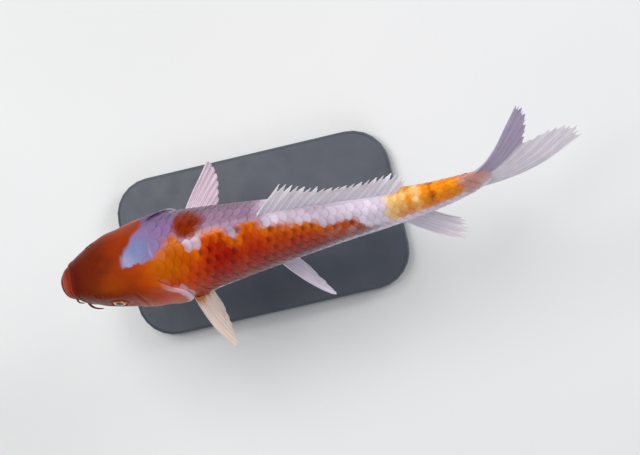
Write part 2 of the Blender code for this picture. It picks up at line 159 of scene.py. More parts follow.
# Share of the length, back, belly and half width, as shares of the length
BODY_STATIONS = (
    (0.000, -0.020, -0.020, 0.000),
    (0.010, 0.004, -0.039, 0.030),
    (0.025, 0.018, -0.048, 0.040),
    (0.050, 0.033, -0.058, 0.055),
    (0.100, 0.056, -0.074, 0.076),
    (0.160, 0.079, -0.090, 0.090),
    (0.220, 0.098, -0.102, 0.102),
    (0.280, 0.113, -0.111, 0.102),
    (0.360, 0.126, -0.118, 0.091),
    (0.450, 0.131, -0.120, 0.078),
    (0.550, 0.127, -0.116, 0.064),
    (0.650, 0.112, -0.104, 0.052),
    (0.750, 0.092, -0.086, 0.043),
    (0.850, 0.072, -0.068, 0.032),
    (0.930, 0.061, -0.058, 0.0245),
    (1.000, 0.060, -0.058, 0.014),
)
WIDEST_LEVEL = ((0.00, -0.020), (0.10, -0.018), (0.22, -0.020), (0.38, -0.010), (0.60, 0.0), (1.0, 0.0))
SECTION_SQUARENESS = (
    (0.00, 0.05, 0.03), (0.12, 0.09, 0.06), (0.28, 0.00, 0.08), (0.50, -0.03, 0.05), (1.0, 0.0, 0.0)
)
# Share of the length, degrees: the backbone's turn and the body's roll to the fish's right
BACKBONE_TURN = (
    (-0.05, 1.6), (0.20, 1.0), (0.40, 0.0), (0.50, -0.6), (0.65, -1.0), (0.75, -1.8),
    (0.82, -0.6), (0.88, 4.0), (0.94, 6.5), (1.00, 11.0), (1.06, 25.0), (1.15, 37.0), (1.35, 46.0),
)
BODY_ROLL = (
    (-0.05, 16.0), (0.20, 17.0), (0.45, 20.0), (0.80, 19.0), (1.00, 18.0), (1.15, 29.0), (1.35, 32.0)
)
ROOTED_STATIONS = tuple((math.sqrt(row[0]), *row[1:]) for row in BODY_STATIONS)
# How far the flesh runs on over the roots of the tail's rays, and the width and height it loses
TAIL_FLESH, FLESH_NARROWING, FLESH_LOWERING = 0.036, 0.86, 0.10


def eased(table, column, at):
    """A smooth curve through one column of a table of rows."""
    x, y = (np.array([row[i] for row in table], float) for i in (0, column))
    slopes = np.diff(y) / np.diff(x)
    tangents = np.concatenate([[slopes[0]], np.zeros(len(x) - 2), [slopes[-1]]])
    same_way = slopes[:-1] * slopes[1:] > 0
    before, after = slopes[:-1][same_way], slopes[1:][same_way]
    tangents[1:-1][same_way] = 2 * before * after / (before + after)
    at = np.clip(at, x[0], x[-1])
    i = np.clip(np.searchsorted(x, at, side="right") - 1, 0, len(x) - 2)
    span = x[i + 1] - x[i]
    t = (at - x[i]) / span
    rise = (2 * t**3 - 3 * t**2 + 1) * y[i] + (3 * t**2 - 2 * t**3) * y[i + 1]
    return rise + span * ((t**3 - 2 * t**2 + t) * tangents[i] + (t**3 - t**2) * tangents[i + 1])


def backbone(step=0.005, start=-0.05, end=1.40):
    """Points of the body's axis from ahead of the snout to the tips of the tail."""
    shares = np.arange(start, end + step, step)
    turns = np.radians(eased(BACKBONE_TURN, 1, shares))
    forward = np.stack([-np.sin(turns), np.cos(turns)], axis=1) * step * BODY_LENGTH
    points = np.concatenate([[[0.0, 0.0]], np.cumsum(forward[:-1], axis=0)])
    home = [np.interp(OVER_STAND, shares, points[:, i]) for i in range(2)]
    return shares, points - home


BONE_SHARES, BONE_POINTS = backbone()


def times(numbers, vectors):
    return np.asarray(numbers)[..., None] * vectors


def unit(vectors):
    return vectors / np.maximum(np.linalg.norm(vectors, axis=-1, keepdims=True), 1e-12)


def frame_at(share):
    """The axis point, and the tailward, left and backward (dorsal) directions there."""
    share = np.asarray(share, float)
    x, y = (np.interp(share, BONE_SHARES, BONE_POINTS[:, i]) for i in range(2))
    turn, roll = (np.radians(eased(table, 1, share)) for table in (BACKBONE_TURN, BODY_ROLL))
    none, full = np.zeros_like(turn), np.ones_like(turn)
    tailward = np.stack([-np.sin(turn), np.cos(turn), none], -1)
    level_left = np.stack([np.cos(turn), np.sin(turn), none], -1)
    up = np.stack([none, none, full], -1)
    left = times(np.cos(roll), level_left) + times(np.sin(roll), up)
    dorsal = times(np.cos(roll), up) - times(np.sin(roll), level_left)
    return np.stack([x, y, AXIS_HEIGHT * full], -1), tailward, left, dorsal


def place(share, side, height):
    """A point of the bent body from its share of the length and its left and dorsal offsets."""
    centre, _, left, dorsal = frame_at(share)
    return centre + times(side, left) + times(height, dorsal)


def section(share):
    """The back, belly, half width and widest level of the body's section, in metres."""
    rooted = np.sqrt(np.clip(share, 0.0, 1.0))
    back, belly, half = (eased(ROOTED_STATIONS, i, rooted) * BODY_LENGTH for i in (1, 2, 3))
    beyond = np.clip((share - 1.0) / TAIL_FLESH, 0.0, 1.0)
    thinner = 1.0 - FLESH_NARROWING + FLESH_NARROWING * (1.0 - beyond) ** 1.3
    lower = 1.0 - FLESH_LOWERING * beyond**2
    return back * lower, belly * lower, half * thinner, eased(WIDEST_LEVEL, 1, share) * BODY_LENGTH


def section_offset(share, degrees):
    """The left and dorsal offsets of the body's surface, at an angle round from the back."""
    back, belly, half, level = section(share)
    a = np.radians(degrees)
    upness = 0.5 + 0.5 * np.cos(a)
    above, below = (eased(SECTION_SQUARENESS, column, share) for column in (1, 2))
    square = above * upness + below * (1 - upness)
    across = (np.sin(a) + square * np.sin(3 * a)) / (1 - square)
    reach = np.where(np.cos(a) > 0, back - level, level - belly)
    return half * across, level + reach * np.cos(a)


def body_point(share, degrees):
    """A point of the body at an angle round from the middle of the back towards the left flank."""
    return place(share, *section_offset(share, degrees))


def body_normal(share, degrees):
    share = np.clip(share, 0.003, 1.0 + 0.8 * TAIL_FLESH)
    along = body_point(share + 0.002, degrees) - body_point(share - 0.002, degrees)
    around = body_point(share, degrees + 1.0) - body_point(share, degrees - 1.0)
    return unit(np.cross(around, along))


def smooth(low, high, value):
    """0 below low, 1 above high, and a soft step between."""
    t = np.clip((value - low) / (high - low), 0.0, 1.0)
    return t * t * (3 - 2 * t)


def shelf(value, start, full, fading, end):
    """0 up to the start, 1 from full to fading, and 0 again from the end on."""
    return smooth(start, full, value) * (1 - smooth(fading, end, value))


def hump(value, middle, half):
    """1 at the middle, falling softly to 0."""
    return np.exp(-(((value - middle) / half) ** 2))


def ridges(away, rows):
    """Soft ridges, or grooves where the height is below 0: height, place and half width of each."""
    return sum(height * hump(away, at, half) for height, at, half in rows)


GRAIN_SIZE = 64  # squares to a side before the noise repeats


def grain(x, y, seed):
    """Soft seeded noise between -1 and 1 over a plane."""
    table = np.random.default_rng(seed).uniform(-1, 1, (GRAIN_SIZE, GRAIN_SIZE))
    column, row = np.floor(x).astype(int), np.floor(y).astype(int)
    fx, fy = smooth(0, 1, x - column), smooth(0, 1, y - row)
    corner = [[table[(column + i) % GRAIN_SIZE, (row + j) % GRAIN_SIZE] for j in (0, 1)] for i in (0, 1)]
    near = corner[0][0] * (1 - fx) + corner[1][0] * fx
    far = corner[0][1] * (1 - fx) + corner[1][1] * fx
    return near * (1 - fy) + far * fy


# The mouth closes on a line from corner to corner. Shares of the length, seen from the front
MOUTH_HALF, MOUTH_FRONT, MOUTH_DROP = 0.040, -0.026, 0.020
SNOUT_END, SNOUT_LIMIT, HALVINGS = 0.075, 0.16, 26
SEGMENTS, CORNER_SEGMENT = 240, 75
SNOUT_RINGS, HEAD_RINGS, NAPE_RINGS, BODY_RINGS, TAIL_RINGS = 50, 108, 26, 105, 9
# The rear edge of the gill covers: degrees round from the back, share of the length
GILL_EDGE = (
    (0, 0.236), (30, 0.236), (42, 0.240), (55, 0.262), (72, 0.294), (90, 0.301), (105, 0.292),
    (122, 0.266), (140, 0.232), (160, 0.206), (180, 0.198),
)
GILL_RING, GILL_SLIT_RINGS, SLIT_STEP, NAPE_END = 0.270, 5, 0.12, 0.33
COAT_DEPTH = 0.35  # how far the skin lies under the scales' outer face, in millimetres
# Places: share of the length, degrees round
EYE_AT, EYE_AROUND = 0.128, 78.0
NOSTRIL_AT, NOSTRIL_AROUND = 0.088, 47.0
GILL_BULGE_AT, GILL_RAYS_AT = (0.249, 84.0), (0.204, 56.0)
PECTORAL_SEAT, PELVIC_SEAT = (0.320, 120.0), (0.528, 150.0)
# Lips in millimetres: roll, swell, and the line between them; the fold behind, its depth and its pad
UPPER_ROLL, LOWER_ROLL, LIP_SWELL, LIP_PARTING = 3.4, 3.0, 0.75, 0.60
UPPER_FOLD, FOLD_CLOSING, LOWER_FOLD = 11.3, 7.6, 5.2
UPPER_FOLD_DEPTH, LOWER_FOLD_DEPTH, UPPER_PAD, LOWER_PAD = 0.62, 0.16, 0.45, 0.09
# Eye and nostril in millimetres: the pits, then ridges by height, place and half width
EYE_PIT, PIT_FLOOR, PIT_RIM = 2.1, 2.7, 3.95
LID_RINGS, BROW = ((0.42, 4.35, 0.70), (-0.16, 6.0, 1.0)), 0.45
NOSTRIL_RIM, NOSTRIL_DEPTH, NOSTRIL_FLAP = ((0.20, 2.3, 0.8),), 1.05, 0.75
NOSTRIL_PITS = ((-1.15, 0.75, 0.85), (1.05, 0.80, 1.05))
# Cheek and gill cover in millimetres: ridges along the creases, the throat's fold, the cover's parts
PREOPERCLE_RIDGES = ((0.24, -1.9, 1.4), (-0.42, 0.0, 0.62))
CHEEK_RIDGES, MM_PER_DEGREE, CHIN_FOLD = ((0.16, -1.5, 1.2), (-0.26, 0.0, 0.55)), 0.30, 0.45
GILL_LIFT, GILL_EDGE_LINE, GILL_BULGE = 1.25, 0.30, 0.42
GILL_RAY_LIFT, THROAT_FOLD, GILL_DIP = 0.035, 0.16, 0.45
# Creases: degrees round, share of the length; then share of the length, degrees round
PREOPERCLE = ((44, 0.176), (60, 0.186), (85, 0.196), (110, 0.190), (130, 0.170), (150, 0.140), (165, 0.110))
CHEEK_LINE = ((0.060, 112), (0.095, 104), (0.128, 101), (0.160, 96), (0.190, 80))


def on_snout(side, height):
    """The share of the length at which the blunt snout's skin meets a point of the front view."""
    low, high = np.zeros_like(side), np.full_like(side, SNOUT_LIMIT)
    for _ in range(HALVINGS):
        middle = (low + high) / 2
        back, belly, _, level = section(middle)
        cosine = (height - level) / np.where(height > level, back - level, level - belly)
        degrees = np.degrees(np.arccos(np.clip(cosine, -1, 1)))
        outside = (np.abs(cosine) >= 1) | (np.abs(side) > section_offset(middle, degrees)[0])
        low, high = np.where(outside, middle, low), np.where(outside, high, middle)
    return high, np.copysign(degrees, side)


def skin_rings():
    """Share and degrees of every point of the skin's rings, from the lips to the tail."""
    segment = np.arange(SEGMENTS)
    degrees = (segment * 360.0 / SEGMENTS + 180.0) % 360.0 - 180.0
    half = np.where(segment <= SEGMENTS // 2, segment, SEGMENTS - segment)
    upper = np.clip(half / CORNER_SEGMENT, 0, 1)
    lower = np.clip((half - CORNER_SEGMENT) / (SEGMENTS // 2 - CORNER_SEGMENT), 0, 1)
    along = np.sin(math.pi / 2 * (upper + lower)) * np.where(segment > SEGMENTS // 2, -1, 1)
    slit = np.stack([MOUTH_HALF * along, MOUTH_FRONT - MOUTH_DROP * along**2]) * BODY_LENGTH
    rim = np.stack(section_offset(SNOUT_END, degrees))
    shares, rounds = [], []
    for t in np.linspace(0.0, 1.0, SNOUT_RINGS):
        side, height = slit + (rim - slit) * t
        share, angle = on_snout(side, height)
        shares.append(share)
        rounds.append(np.where(t < 1.0, angle, degrees))
    edge = eased(GILL_EDGE, 1, np.abs(degrees))
    slit_step = SLIT_STEP * MM / BODY_LENGTH
    for ring in np.concatenate([
        np.linspace(SNOUT_END, GILL_RING, HEAD_RINGS)[1:],
        GILL_RING + slit_step * np.arange(1, GILL_SLIT_RINGS),
        np.linspace(GILL_RING + GILL_SLIT_RINGS * slit_step, NAPE_END, NAPE_RINGS),
        np.linspace(NAPE_END, 1.0, BODY_RINGS)[1:],
        1.0 + TAIL_FLESH * np.sin(np.linspace(0.0, math.pi / 2, TAIL_RINGS + 1)[1:]),
    ]):
        pull = shelf(ring, 0.12, GILL_RING, GILL_RING, 0.42)
        shares.append(ring + (edge - GILL_RING) * pull)
        rounds.append(degrees)
    return np.array(shares), np.array(rounds), along


def beside(share, side, at, around):
    """Tailward and round distances on the skin from one of its places, in millimetres."""
    here, turned = (body_point(np.array(at), np.array(around + degree)) for degree in (0.0, 1.0))
    step = turned - here
    return (share - at) * BODY_LENGTH / MM, (side - around) * np.linalg.norm(step) / MM


def lip_relief(base, along):
    """The soft roll of the lips round the slit, and the fold behind the upper jaw."""
    steps = np.linalg.norm(np.diff(base, axis=0), axis=-1)
    away = np.concatenate([np.zeros((1, SEGMENTS)), np.cumsum(steps, axis=0)]) / MM
    segment = np.arange(SEGMENTS)
    above = np.minimum(segment, SEGMENTS - segment) <= CORNER_SEGMENT
    cornered = np.abs(along) ** 3
    roll = np.where(above, UPPER_ROLL, LOWER_ROLL) * (1 - 0.45 * cornered)
    lift = LIP_SWELL * np.sin(np.clip(away / roll, 0, 1) * math.pi) ** 0.8 * (1 - 0.3 * cornered)
    lift -= 0.28 * hump(away, roll * 1.10, 0.45)
    lift -= LIP_PARTING * hump(away, 0.0, 0.60)
    fold = np.where(above, UPPER_FOLD - FOLD_CLOSING * np.abs(along) ** 1.6, LOWER_FOLD)
    lift -= np.where(above, UPPER_FOLD_DEPTH, LOWER_FOLD_DEPTH) * hump(away, fold, 0.75)
    lift += np.where(above, UPPER_PAD, LOWER_PAD) * hump(away, fold + 1.9, 1.5)
    return lift


def eye_relief(share, side):
    """A pit that the eyeball fills, a raised lid round it and a shallow trough outside that."""
    x, y = beside(share, side, EYE_AT, EYE_AROUND)
    away = np.hypot(x, y)
    lift = ridges(away, LID_RINGS) - EYE_PIT * (1 - smooth(PIT_FLOOR, PIT_RIM, away))
    return lift + BROW * hump(x, 0.0, 5.0) * hump(y, -7.5, 3.2)


def nostril_relief(share, side):
    """Two pits with a flap of skin between them, and a soft rim."""
    x, y = beside(share, side, NOSTRIL_AT, NOSTRIL_AROUND)
    lift = ridges(np.hypot(x, y), NOSTRIL_RIM)
    for middle, length, height in NOSTRIL_PITS:
        lift -= NOSTRIL_DEPTH * hump(x, middle, length) * hump(y, 0.0, height)
    return lift + NOSTRIL_FLAP * hump(x, -0.08, 0.42) * hump(y, -0.1, 1.05)


def cheek_relief(share, side):
    """The lines of the cheek bones, the crease before the gill cover, and the throat's folds."""
    crease = (share - eased(PREOPERCLE, 1, side)) * BODY_LENGTH / MM
    lift = shelf(side, 44, 58, 146, 162) * ridges(crease, PREOPERCLE_RIDGES)
    under_eye = (side - eased(CHEEK_LINE, 1, share)) * MM_PER_DEGREE
    lift += shelf(share, 0.075, 0.10, 0.175, 0.19) * ridges(under_eye, CHEEK_RIDGES)
    return lift - CHIN_FOLD * hump(side, 180.0, 9.0) * shelf(share, 0.05, 0.09, 0.16, 0.20)


def gill_relief(share, degrees):
    """The swollen gill cover, its fine bone rays, its raised rear edge and the groove behind."""
    side = np.abs(degrees)
    behind = (share - eased(GILL_EDGE, 1, side)) * BODY_LENGTH / MM
    open_ = smooth(34, 52, side) * (1 - 0.45 * smooth(150, 178, side))
    covered = behind <= 0.02
    plate = GILL_LIFT * smooth(-11.0, -0.5, behind) - GILL_EDGE_LINE * hump(behind, 0.0, 0.5)
    lift = open_ * plate * covered
    x, y = beside(share, side, *GILL_BULGE_AT)
    lift += GILL_BULGE * hump(np.hypot(x / 8.5, y / 12.0), 0.0, 1.0) * covered
    x, y = beside(share, side, *GILL_RAYS_AT)
    rays = np.sin(np.degrees(np.arctan2(y, x)) * 0.62) * smooth(3.0, 7.0, np.hypot(x, y))
    lift += GILL_RAY_LIFT * rays * (x > 0) * (behind < 0) * shelf(side, 40, 56, 118, 128)
    folds = np.sin(behind * math.tau / 2.3) * smooth(-9.0, -7.0, behind) * (behind < -0.8)
    lift += THROAT_FOLD * folds * smooth(126, 138, side)
    lift -= GILL_DIP * open_ * np.exp(-np.maximum(behind, 0.0) / 1.3) * ~covered
    return lift - COAT_DEPTH * smooth(0.0, 2.0, behind)


def fin_base_relief(share, side):
    """Flesh gathered at the roots of the paired fins, and along those of the dorsal and anal fins."""
    lift = 0.0
    for seat, rise, slim, half in ((PECTORAL_SEAT, 1.25, 1.2, 4.2), (PELVIC_SEAT, 0.60, 1.5, 2.8)):
        x, y = beside(share, side, *seat)
        lift = lift + rise * hump(np.hypot(x / slim, y), 0.0, half)
    for at, around, rise, ends in (
        (0.65, 0.0, 0.85, (0.490, 0.508, 0.806, 0.835)), (0.83, 180.0, 0.75, (0.780, 0.797, 0.860, 0.876)),
    ):
        _, y = beside(share, side, at, around)
        lift = lift + rise * hump(y, 0.0, 1.25) * shelf(share, *ends)
    return lift


def skin_lift(share, degrees, base, along):
    """How far the skin stands out of the plain body, in millimetres."""
    side = np.abs(degrees)
    lift = np.zeros_like(share)
    lift[:SNOUT_RINGS] += lip_relief(base[:SNOUT_RINGS], along)
    lift += eye_relief(share, side) + nostril_relief(share, side) + cheek_relief(share, side)
    lift += gill_relief(share, degrees) + fin_base_relief(share, side)
    return lift


def open_gills(share, degrees, lift):
    """Turns the rings behind the gill cover's edge in under it, so that a real slit shows."""
    first = np.argmin(np.abs(share[:, 0] - eased(GILL_EDGE, 1, 0.0)))
    side = np.abs(degrees[first])
    open_ = shelf(side, 36, 54, 165, 178)
    edge, plate = share[first].copy(), lift[first].copy()
    for step, tuck, below in ((1, 0.00, 0.50), (2, 1.30, 0.60), (3, 1.35, 1.75), (4, 0.10, 1.95)):
        tucked = edge + (SLIT_STEP * step * (1 - open_) - tuck * open_) * MM / BODY_LENGTH
        share[first + step] = tucked
        lift[first + step] = plate * (1 - open_) + (plate - below) * open_
    return share, lift


def srgb(red, green, blue):
    """Linear colour from the 0 to 255 values that a paint chart gives."""
    values = np.array([red, green, blue]) / 255.0
    return np.where(values <= 0.04045, values / 12.92, ((values + 0.055) / 1.055) ** 2.4)


# Paints of the coat
# The mauve pearl is the pearl darkened, laid over the shoulder as painted shade.
PEARL, WARM_PEARL, MAUVE_PEARL = srgb(238, 224, 242), srgb(196, 178, 194), srgb(134, 96, 126)
NAPE_BLUE, NAPE_LILAC, BELLY_WHITE = srgb(100, 114, 162), srgb(132, 98, 150), srgb(224, 216, 228)
HEAD_ORANGE, HEAD_BROWN = srgb(150, 50, 3), srgb(108, 32, 4)
# The lips' pink is a painted highlight, and the fold's dark red is painted shade.
LIP_ORANGE, LIP_HIGHLIGHT_PINK, FOLD_SHADE_RED = srgb(128, 29, 7), srgb(190, 80, 46), srgb(90, 14, 8)
BAND_GOLD, BAND_ORANGE, BAND_RED = srgb(220, 114, 4), srgb(202, 66, 1), srgb(164, 20, 1)
# The pale blue beside the ochre is a painted highlight for the top of the nape.
BAND_OCHRE, NAPE_HIGHLIGHT_BLUE = srgb(188, 98, 1), srgb(176, 186, 222)
SPOT_BROWN, BAND_BROWN, FLANK_SHADE_BROWN = srgb(132, 40, 2), srgb(214, 86, 20), srgb(78, 26, 10)
STALK_GOLD, STALK_GLINT_CREAM = srgb(252, 160, 28), srgb(255, 230, 166)
STALK_ORANGE, TAIL_RUST = srgb(246, 134, 8), srgb(204, 152, 150)
# Edges of the markings. Degrees round, share of the length: where the head's orange ends
HEAD_PAINT = (
    (-180, 0.06), (-150, 0.10), (-122, 0.17), (-90, 0.222), (-60, 0.218), (-44, 0.224), (-34, 0.226),
    (-24, 0.212), (-12, 0.188), (2, 0.166), (11, 0.172), (17, 0.236), (24, 0.340), (180, 0.340),
)
# Share of the length, degrees round: the orange band's upper and lower edges on the left flank
BAND_TOP = (
    (0.17, 14), (0.23, 15), (0.255, 10), (0.275, 3), (0.30, -3), (0.325, 14), (0.345, 25),
    (0.375, 2), (0.40, 4), (0.42, 16), (0.44, 28), (0.465, 10), (0.49, 9), (0.515, 27),
    (0.56, 29), (0.62, 38), (0.65, 50), (0.70, 47), (0.73, 72), (0.78, 96),
)
BAND_FOOT = ((0.20, 124), (0.34, 116), (0.46, 110), (0.54, 105), (0.62, 99), (0.72, 88), (0.78, 82))
# Round marks: share of the length, degrees round, half length and half height
SHOULDER_SPOT = (0.340, -19, 0.038, 27)
RIGHT_MARKS = ((0.425, -92, 0.060, 30), (0.640, -78, 0.050, 34))
# Painted glints of the tail stalk's scale rows, with darker lines painted as shade between them: share of
# the length, half width, paint
STALK_GLINTS_AND_SHADE_LINES = (
    (0.792, 0.010, STALK_GLINT_CREAM), (0.811, 0.005, STALK_GLINT_CREAM), (0.827, 0.005, STALK_GLINT_CREAM),
    (0.841, 0.004, STALK_ORANGE), (0.858, 0.008, STALK_GLINT_CREAM), (0.878, 0.004, STALK_ORANGE),
    (0.893, 0.004, SPOT_BROWN), (0.912, 0.006, STALK_GOLD), (0.946, 0.006, STALK_GOLD),
)
EDGE_WANDER, EDGE_STRAY = 0.0045, 2.6  # how far the markings' edges stray, in share and degrees


def mix(colour, mask, paint):
    """A colour, or one for each place, painted over where the mask is 1."""
    mask = np.asarray(mask)[..., None]
    return colour * (1 - mask) + paint * mask


def within(value, low, high, soft):
    """1 between two edges, with soft steps."""
    return shelf(value, low - soft, low + soft, high - soft, high + soft)


def round_mark(share, degrees, mark, inner, outer):
    """1 inside a round mark and 0 outside it, between two shares of its size."""
    at, around, length, height = mark
    return 1 - smooth(inner, outer, np.hypot((share - at) / length, (degrees - around) / height))


def paint_at(share, degrees, soft=1.0):
    """The coat's colour at places on the body, and how boldly its scales are pencilled."""
    wander = grain(share * 60, degrees / 14, 3) + 0.4 * grain(share * 150, degrees / 6, 4)
    stray = grain(share * 75, degrees / 11, 5) + 0.5 * grain(share * 170, degrees / 5, 6)
    share_w, degrees_w = share + EDGE_WANDER * wander, degrees + EDGE_STRAY * stray
    side = np.abs(degrees)
    mottle = grain(share * 45, degrees / 9, 7)

    # Pearl ground, darkened to mauve over the shoulder as painted shade but for a gap in the band, cooler
    # below
    shoulder_painted_shade = within(share, 0.29, 0.515, 0.03) * within(degrees, -80, 24, 12)
    gap = hump(share, 0.345, 0.035) * hump(degrees, 10, 16)
    colour = mix(PEARL, shoulder_painted_shade * (1 - 0.6 * gap) * (0.90 - 0.5 * smooth(0.50, 0.56, share)), MAUVE_PEARL)
    colour = mix(colour, within(share, 0.54, 0.68, 0.04) * (1 - smooth(50, 100, side)) * 0.7, WARM_PEARL)
    colour = mix(colour, smooth(112, 142, side), BELLY_WHITE)
    colour = colour * (1 + 0.05 * mottle)[..., None]

    # Nape: a blue-white saddle with a painted highlight on its top, turning lilac down the right shoulder,
    # where painted shade darkens it
    nape = within(share_w, 0.13, 0.302, 0.008) * within(degrees_w, -64, 22, 4)
    blue = hump(share, 0.205, 0.046) * hump(degrees, 0, 20)
    saddle = mix(NAPE_LILAC, blue, NAPE_BLUE)
    # A paler blue on the top of the nape, a painted highlight.
    saddle = mix(saddle, hump(share, 0.178, 0.030) * hump(degrees, 10, 14) * 0.5, NAPE_HIGHLIGHT_BLUE)
    saddle = saddle * (1 + 0.16 * grain(share * 70, degrees / 8, 11) * blue)[..., None]
    colour = mix(colour, nape * 0.94, saddle)
    # Painted shade darkens the right shoulder of the back.
    right_shoulder_painted_shade = within(degrees, -66, -32, 12) * within(share, 0.21, 0.49, 0.03)
    colour = colour * (1 - 0.45 * right_shoulder_painted_shade)[..., None]

    # Head: brown crown that turns orange behind the eyes, a brown patch painted as shade above the left
    # eye, lips lightened by a painted highlight, and painted shade in the dark fold behind them
    head = 1 - smooth(-0.009 * soft, 0.009 * soft, share_w - eased(HEAD_PAINT, 1, degrees_w))
    throat = smooth(134, 150, side + 6 * mottle) * smooth(0.035, 0.07, share)
    face = mix(HEAD_BROWN, smooth(0.095, 0.185, share + 0.010 * mottle + side / 3000), HEAD_ORANGE)
    face = mix(face, smooth(0.07, 0.17, share) * smooth(50, 90, side) * 0.4, HEAD_ORANGE)
    face = mix(face, smooth(0.16, 0.26, share) * smooth(10, 40, degrees) * 0.5, BAND_ORANGE)
    face = mix(face, hump(share, 0.125, 0.045) * hump(degrees, 34, 20) * 0.14, BAND_GOLD)
    face = mix(face, hump(share, 0.265, 0.050) * hump(degrees, 26, 22) * 0.8, BAND_OCHRE)
    # A brown patch above the left eye, painted as shade.
    face = mix(face, hump(share, 0.135, 0.055) * hump(degrees, 54, 16) * 0.6, HEAD_BROWN)
    face = mix(face, 1 - smooth(0.020, 0.040, share), LIP_ORANGE)
    # A painted highlight: a lighter pink on the top of the upper lip.
    face = mix(face, hump(share, 0.012, 0.012) * hump(degrees, 22, 46) * 0.45, LIP_HIGHLIGHT_PINK)
    # Painted shade in the fold behind the upper lip.
    face = mix(face, hump(share, 0.044, 0.014) * (1 - smooth(60, 100, side)) * 0.60, FOLD_SHADE_RED)
    face = face * (1 + 0.07 * mottle + 0.04 * grain(share * 190, degrees / 3, 8))[..., None]
    colour = mix(colour, head * (1 - throat), face)
    jaw = within(side, 126, 140, 5) * within(share, 0.040, 0.10, 0.02)
    colour = mix(colour, 0.45 * jaw, MAUVE_PEARL)

    # A brown spot on the shoulder
    spot = round_mark(share_w, degrees_w, SHOULDER_SPOT, 0.84, 1.12)
    colour = mix(colour, spot, SPOT_BROWN)

    # Left flank: the long band, gold along its top with a painted highlight, deep red below with painted
    # shade that darkens it towards its foot, and painted shade under it
    top, foot = eased(BAND_TOP, 1, share_w), eased(BAND_FOOT, 1, share_w)
    below = degrees_w - top
    band = smooth(-3.0 * soft, 3.0 * soft, below) * (1 - smooth(-9.0, 7.0, degrees_w - foot))
    band = band * smooth(0.17, 0.29, share) * (1 - smooth(0.735, 0.775, share_w))
    # Gold along the band's top, partly its own colour and partly a painted highlight where the light falls.
    gold_and_highlight = (1 - smooth(4, 26, below)) * smooth(0.24, 0.29, share) * (0.75 + 0.25 * mottle)
    stripe = mix(BAND_ORANGE, gold_and_highlight, BAND_GOLD)
    ochre = within(share, 0.225, 0.318, 0.022) * (1 - smooth(34, 66, degrees)) * (0.8 + 0.2 * mottle)
    stripe = mix(stripe, ochre, BAND_OCHRE)
    # Deep red low on the band, partly its own colour and partly painted shade.
    deep_red_and_shade = smooth(10, 26, below) * within(share, 0.355, 0.445, 0.022)
    deep_red_and_shade = np.maximum(deep_red_and_shade, smooth(24, 50, below) * smooth(0.31, 0.38, share) * 0.85)
    stripe = mix(stripe, deep_red_and_shade * (0.80 + 0.20 * grain(share * 38, degrees / 16, 9)), BAND_RED)
    stripe = mix(stripe, smooth(0.64, 0.69, share) * 0.85, BAND_BROWN)
    # Painted shade: the band darkens towards its foot.
    stripe = stripe * ((1 + 0.10 * mottle) * (1 - 0.45 * smooth(-45, -5, degrees - foot)))[..., None]
    faded = smooth(0.625, 0.67, share) * smooth(0.1, 0.6, grain(share * 90, degrees / 10, 10)) * 0.25
    # Painted shade: a dark brown under the band's foot.
    under = within(share, 0.40, 0.76, 0.05) * hump(degrees, foot + 4, 13) * 0.8
    colour = mix(colour, under, FLANK_SHADE_BROWN)
    colour = mix(colour, band * (1 - faded), stripe)
    behind = np.abs(share - eased(GILL_EDGE, 1, degrees_w) + 0.005) / 0.010
    rim = np.where(degrees > 40, 1 - smooth(0.2, 1.4, behind), 0) * within(degrees, 58, 106, 14)
    colour = mix(colour, rim * 0.7, PEARL)

    # Right flank: pearl with two soft orange marks
    tint = BAND_ORANGE * (1 - 0.35 * smooth(-0.2, 0.6, mottle))[..., None] + 0.25 * BAND_GOLD
    for mark in RIGHT_MARKS:
        colour = mix(colour, round_mark(share_w, degrees_w, mark, 0.80, 1.10) * 0.92, tint)

    # Tail stalk: gold over the top and left side, crossed by bars painted as glints and shade lines of its
    # scale rows, rust at the tail's root
    stalk = smooth(0.778, 0.796, share_w) * (1 - smooth(66, 92, side + 5 * mottle))
    stalk_with_glints = mix(STALK_GOLD, smooth(0.87, 0.90, share) * 0.8, STALK_ORANGE)
    # The bars are painted glints of the scale rows and painted shade lines between them.
    for at, half, paint in STALK_GLINTS_AND_SHADE_LINES:
        stalk_with_glints = mix(stalk_with_glints, hump(share_w, at, half) * 0.8, paint)
    stalk_with_glints = mix(stalk_with_glints, smooth(44, 66, side) * smooth(0.80, 0.82, share) * 0.6, STALK_ORANGE)
    colour = mix(colour, stalk, stalk_with_glints)
    colour = mix(colour, smooth(0.955, 0.975, share_w) * (1 - smooth(100, 130, side)) * 0.85, TAIL_RUST)

    bold = np.clip(0.20 + 0.80 * band * smooth(0.30, 0.38, share) + 0.45 * spot - 0.10 * stalk, 0, 1)
    return np.clip(colour, 0.0, 1.0), bold


def colour_points(mesh, name, colour, fourth=None):
    """Gives every point of a mesh its colour."""
    fourth = np.ones(len(colour)) if fourth is None else fourth
    layer = mesh.color_attributes.new(name, "FLOAT_COLOR", "POINT")
    layer.data.foreach_set("color", np.column_stack([colour, fourth]).astype(np.float32).ravel())


def attribute(tree, name):
    node = tree.nodes.new("ShaderNodeAttribute")
    node.attribute_name = name
    return node


UNSHADED, PORE_SHADE = (1.0, 1.0, 1.0, 1.0), (0.72, 0.70, 0.72, 1.0)


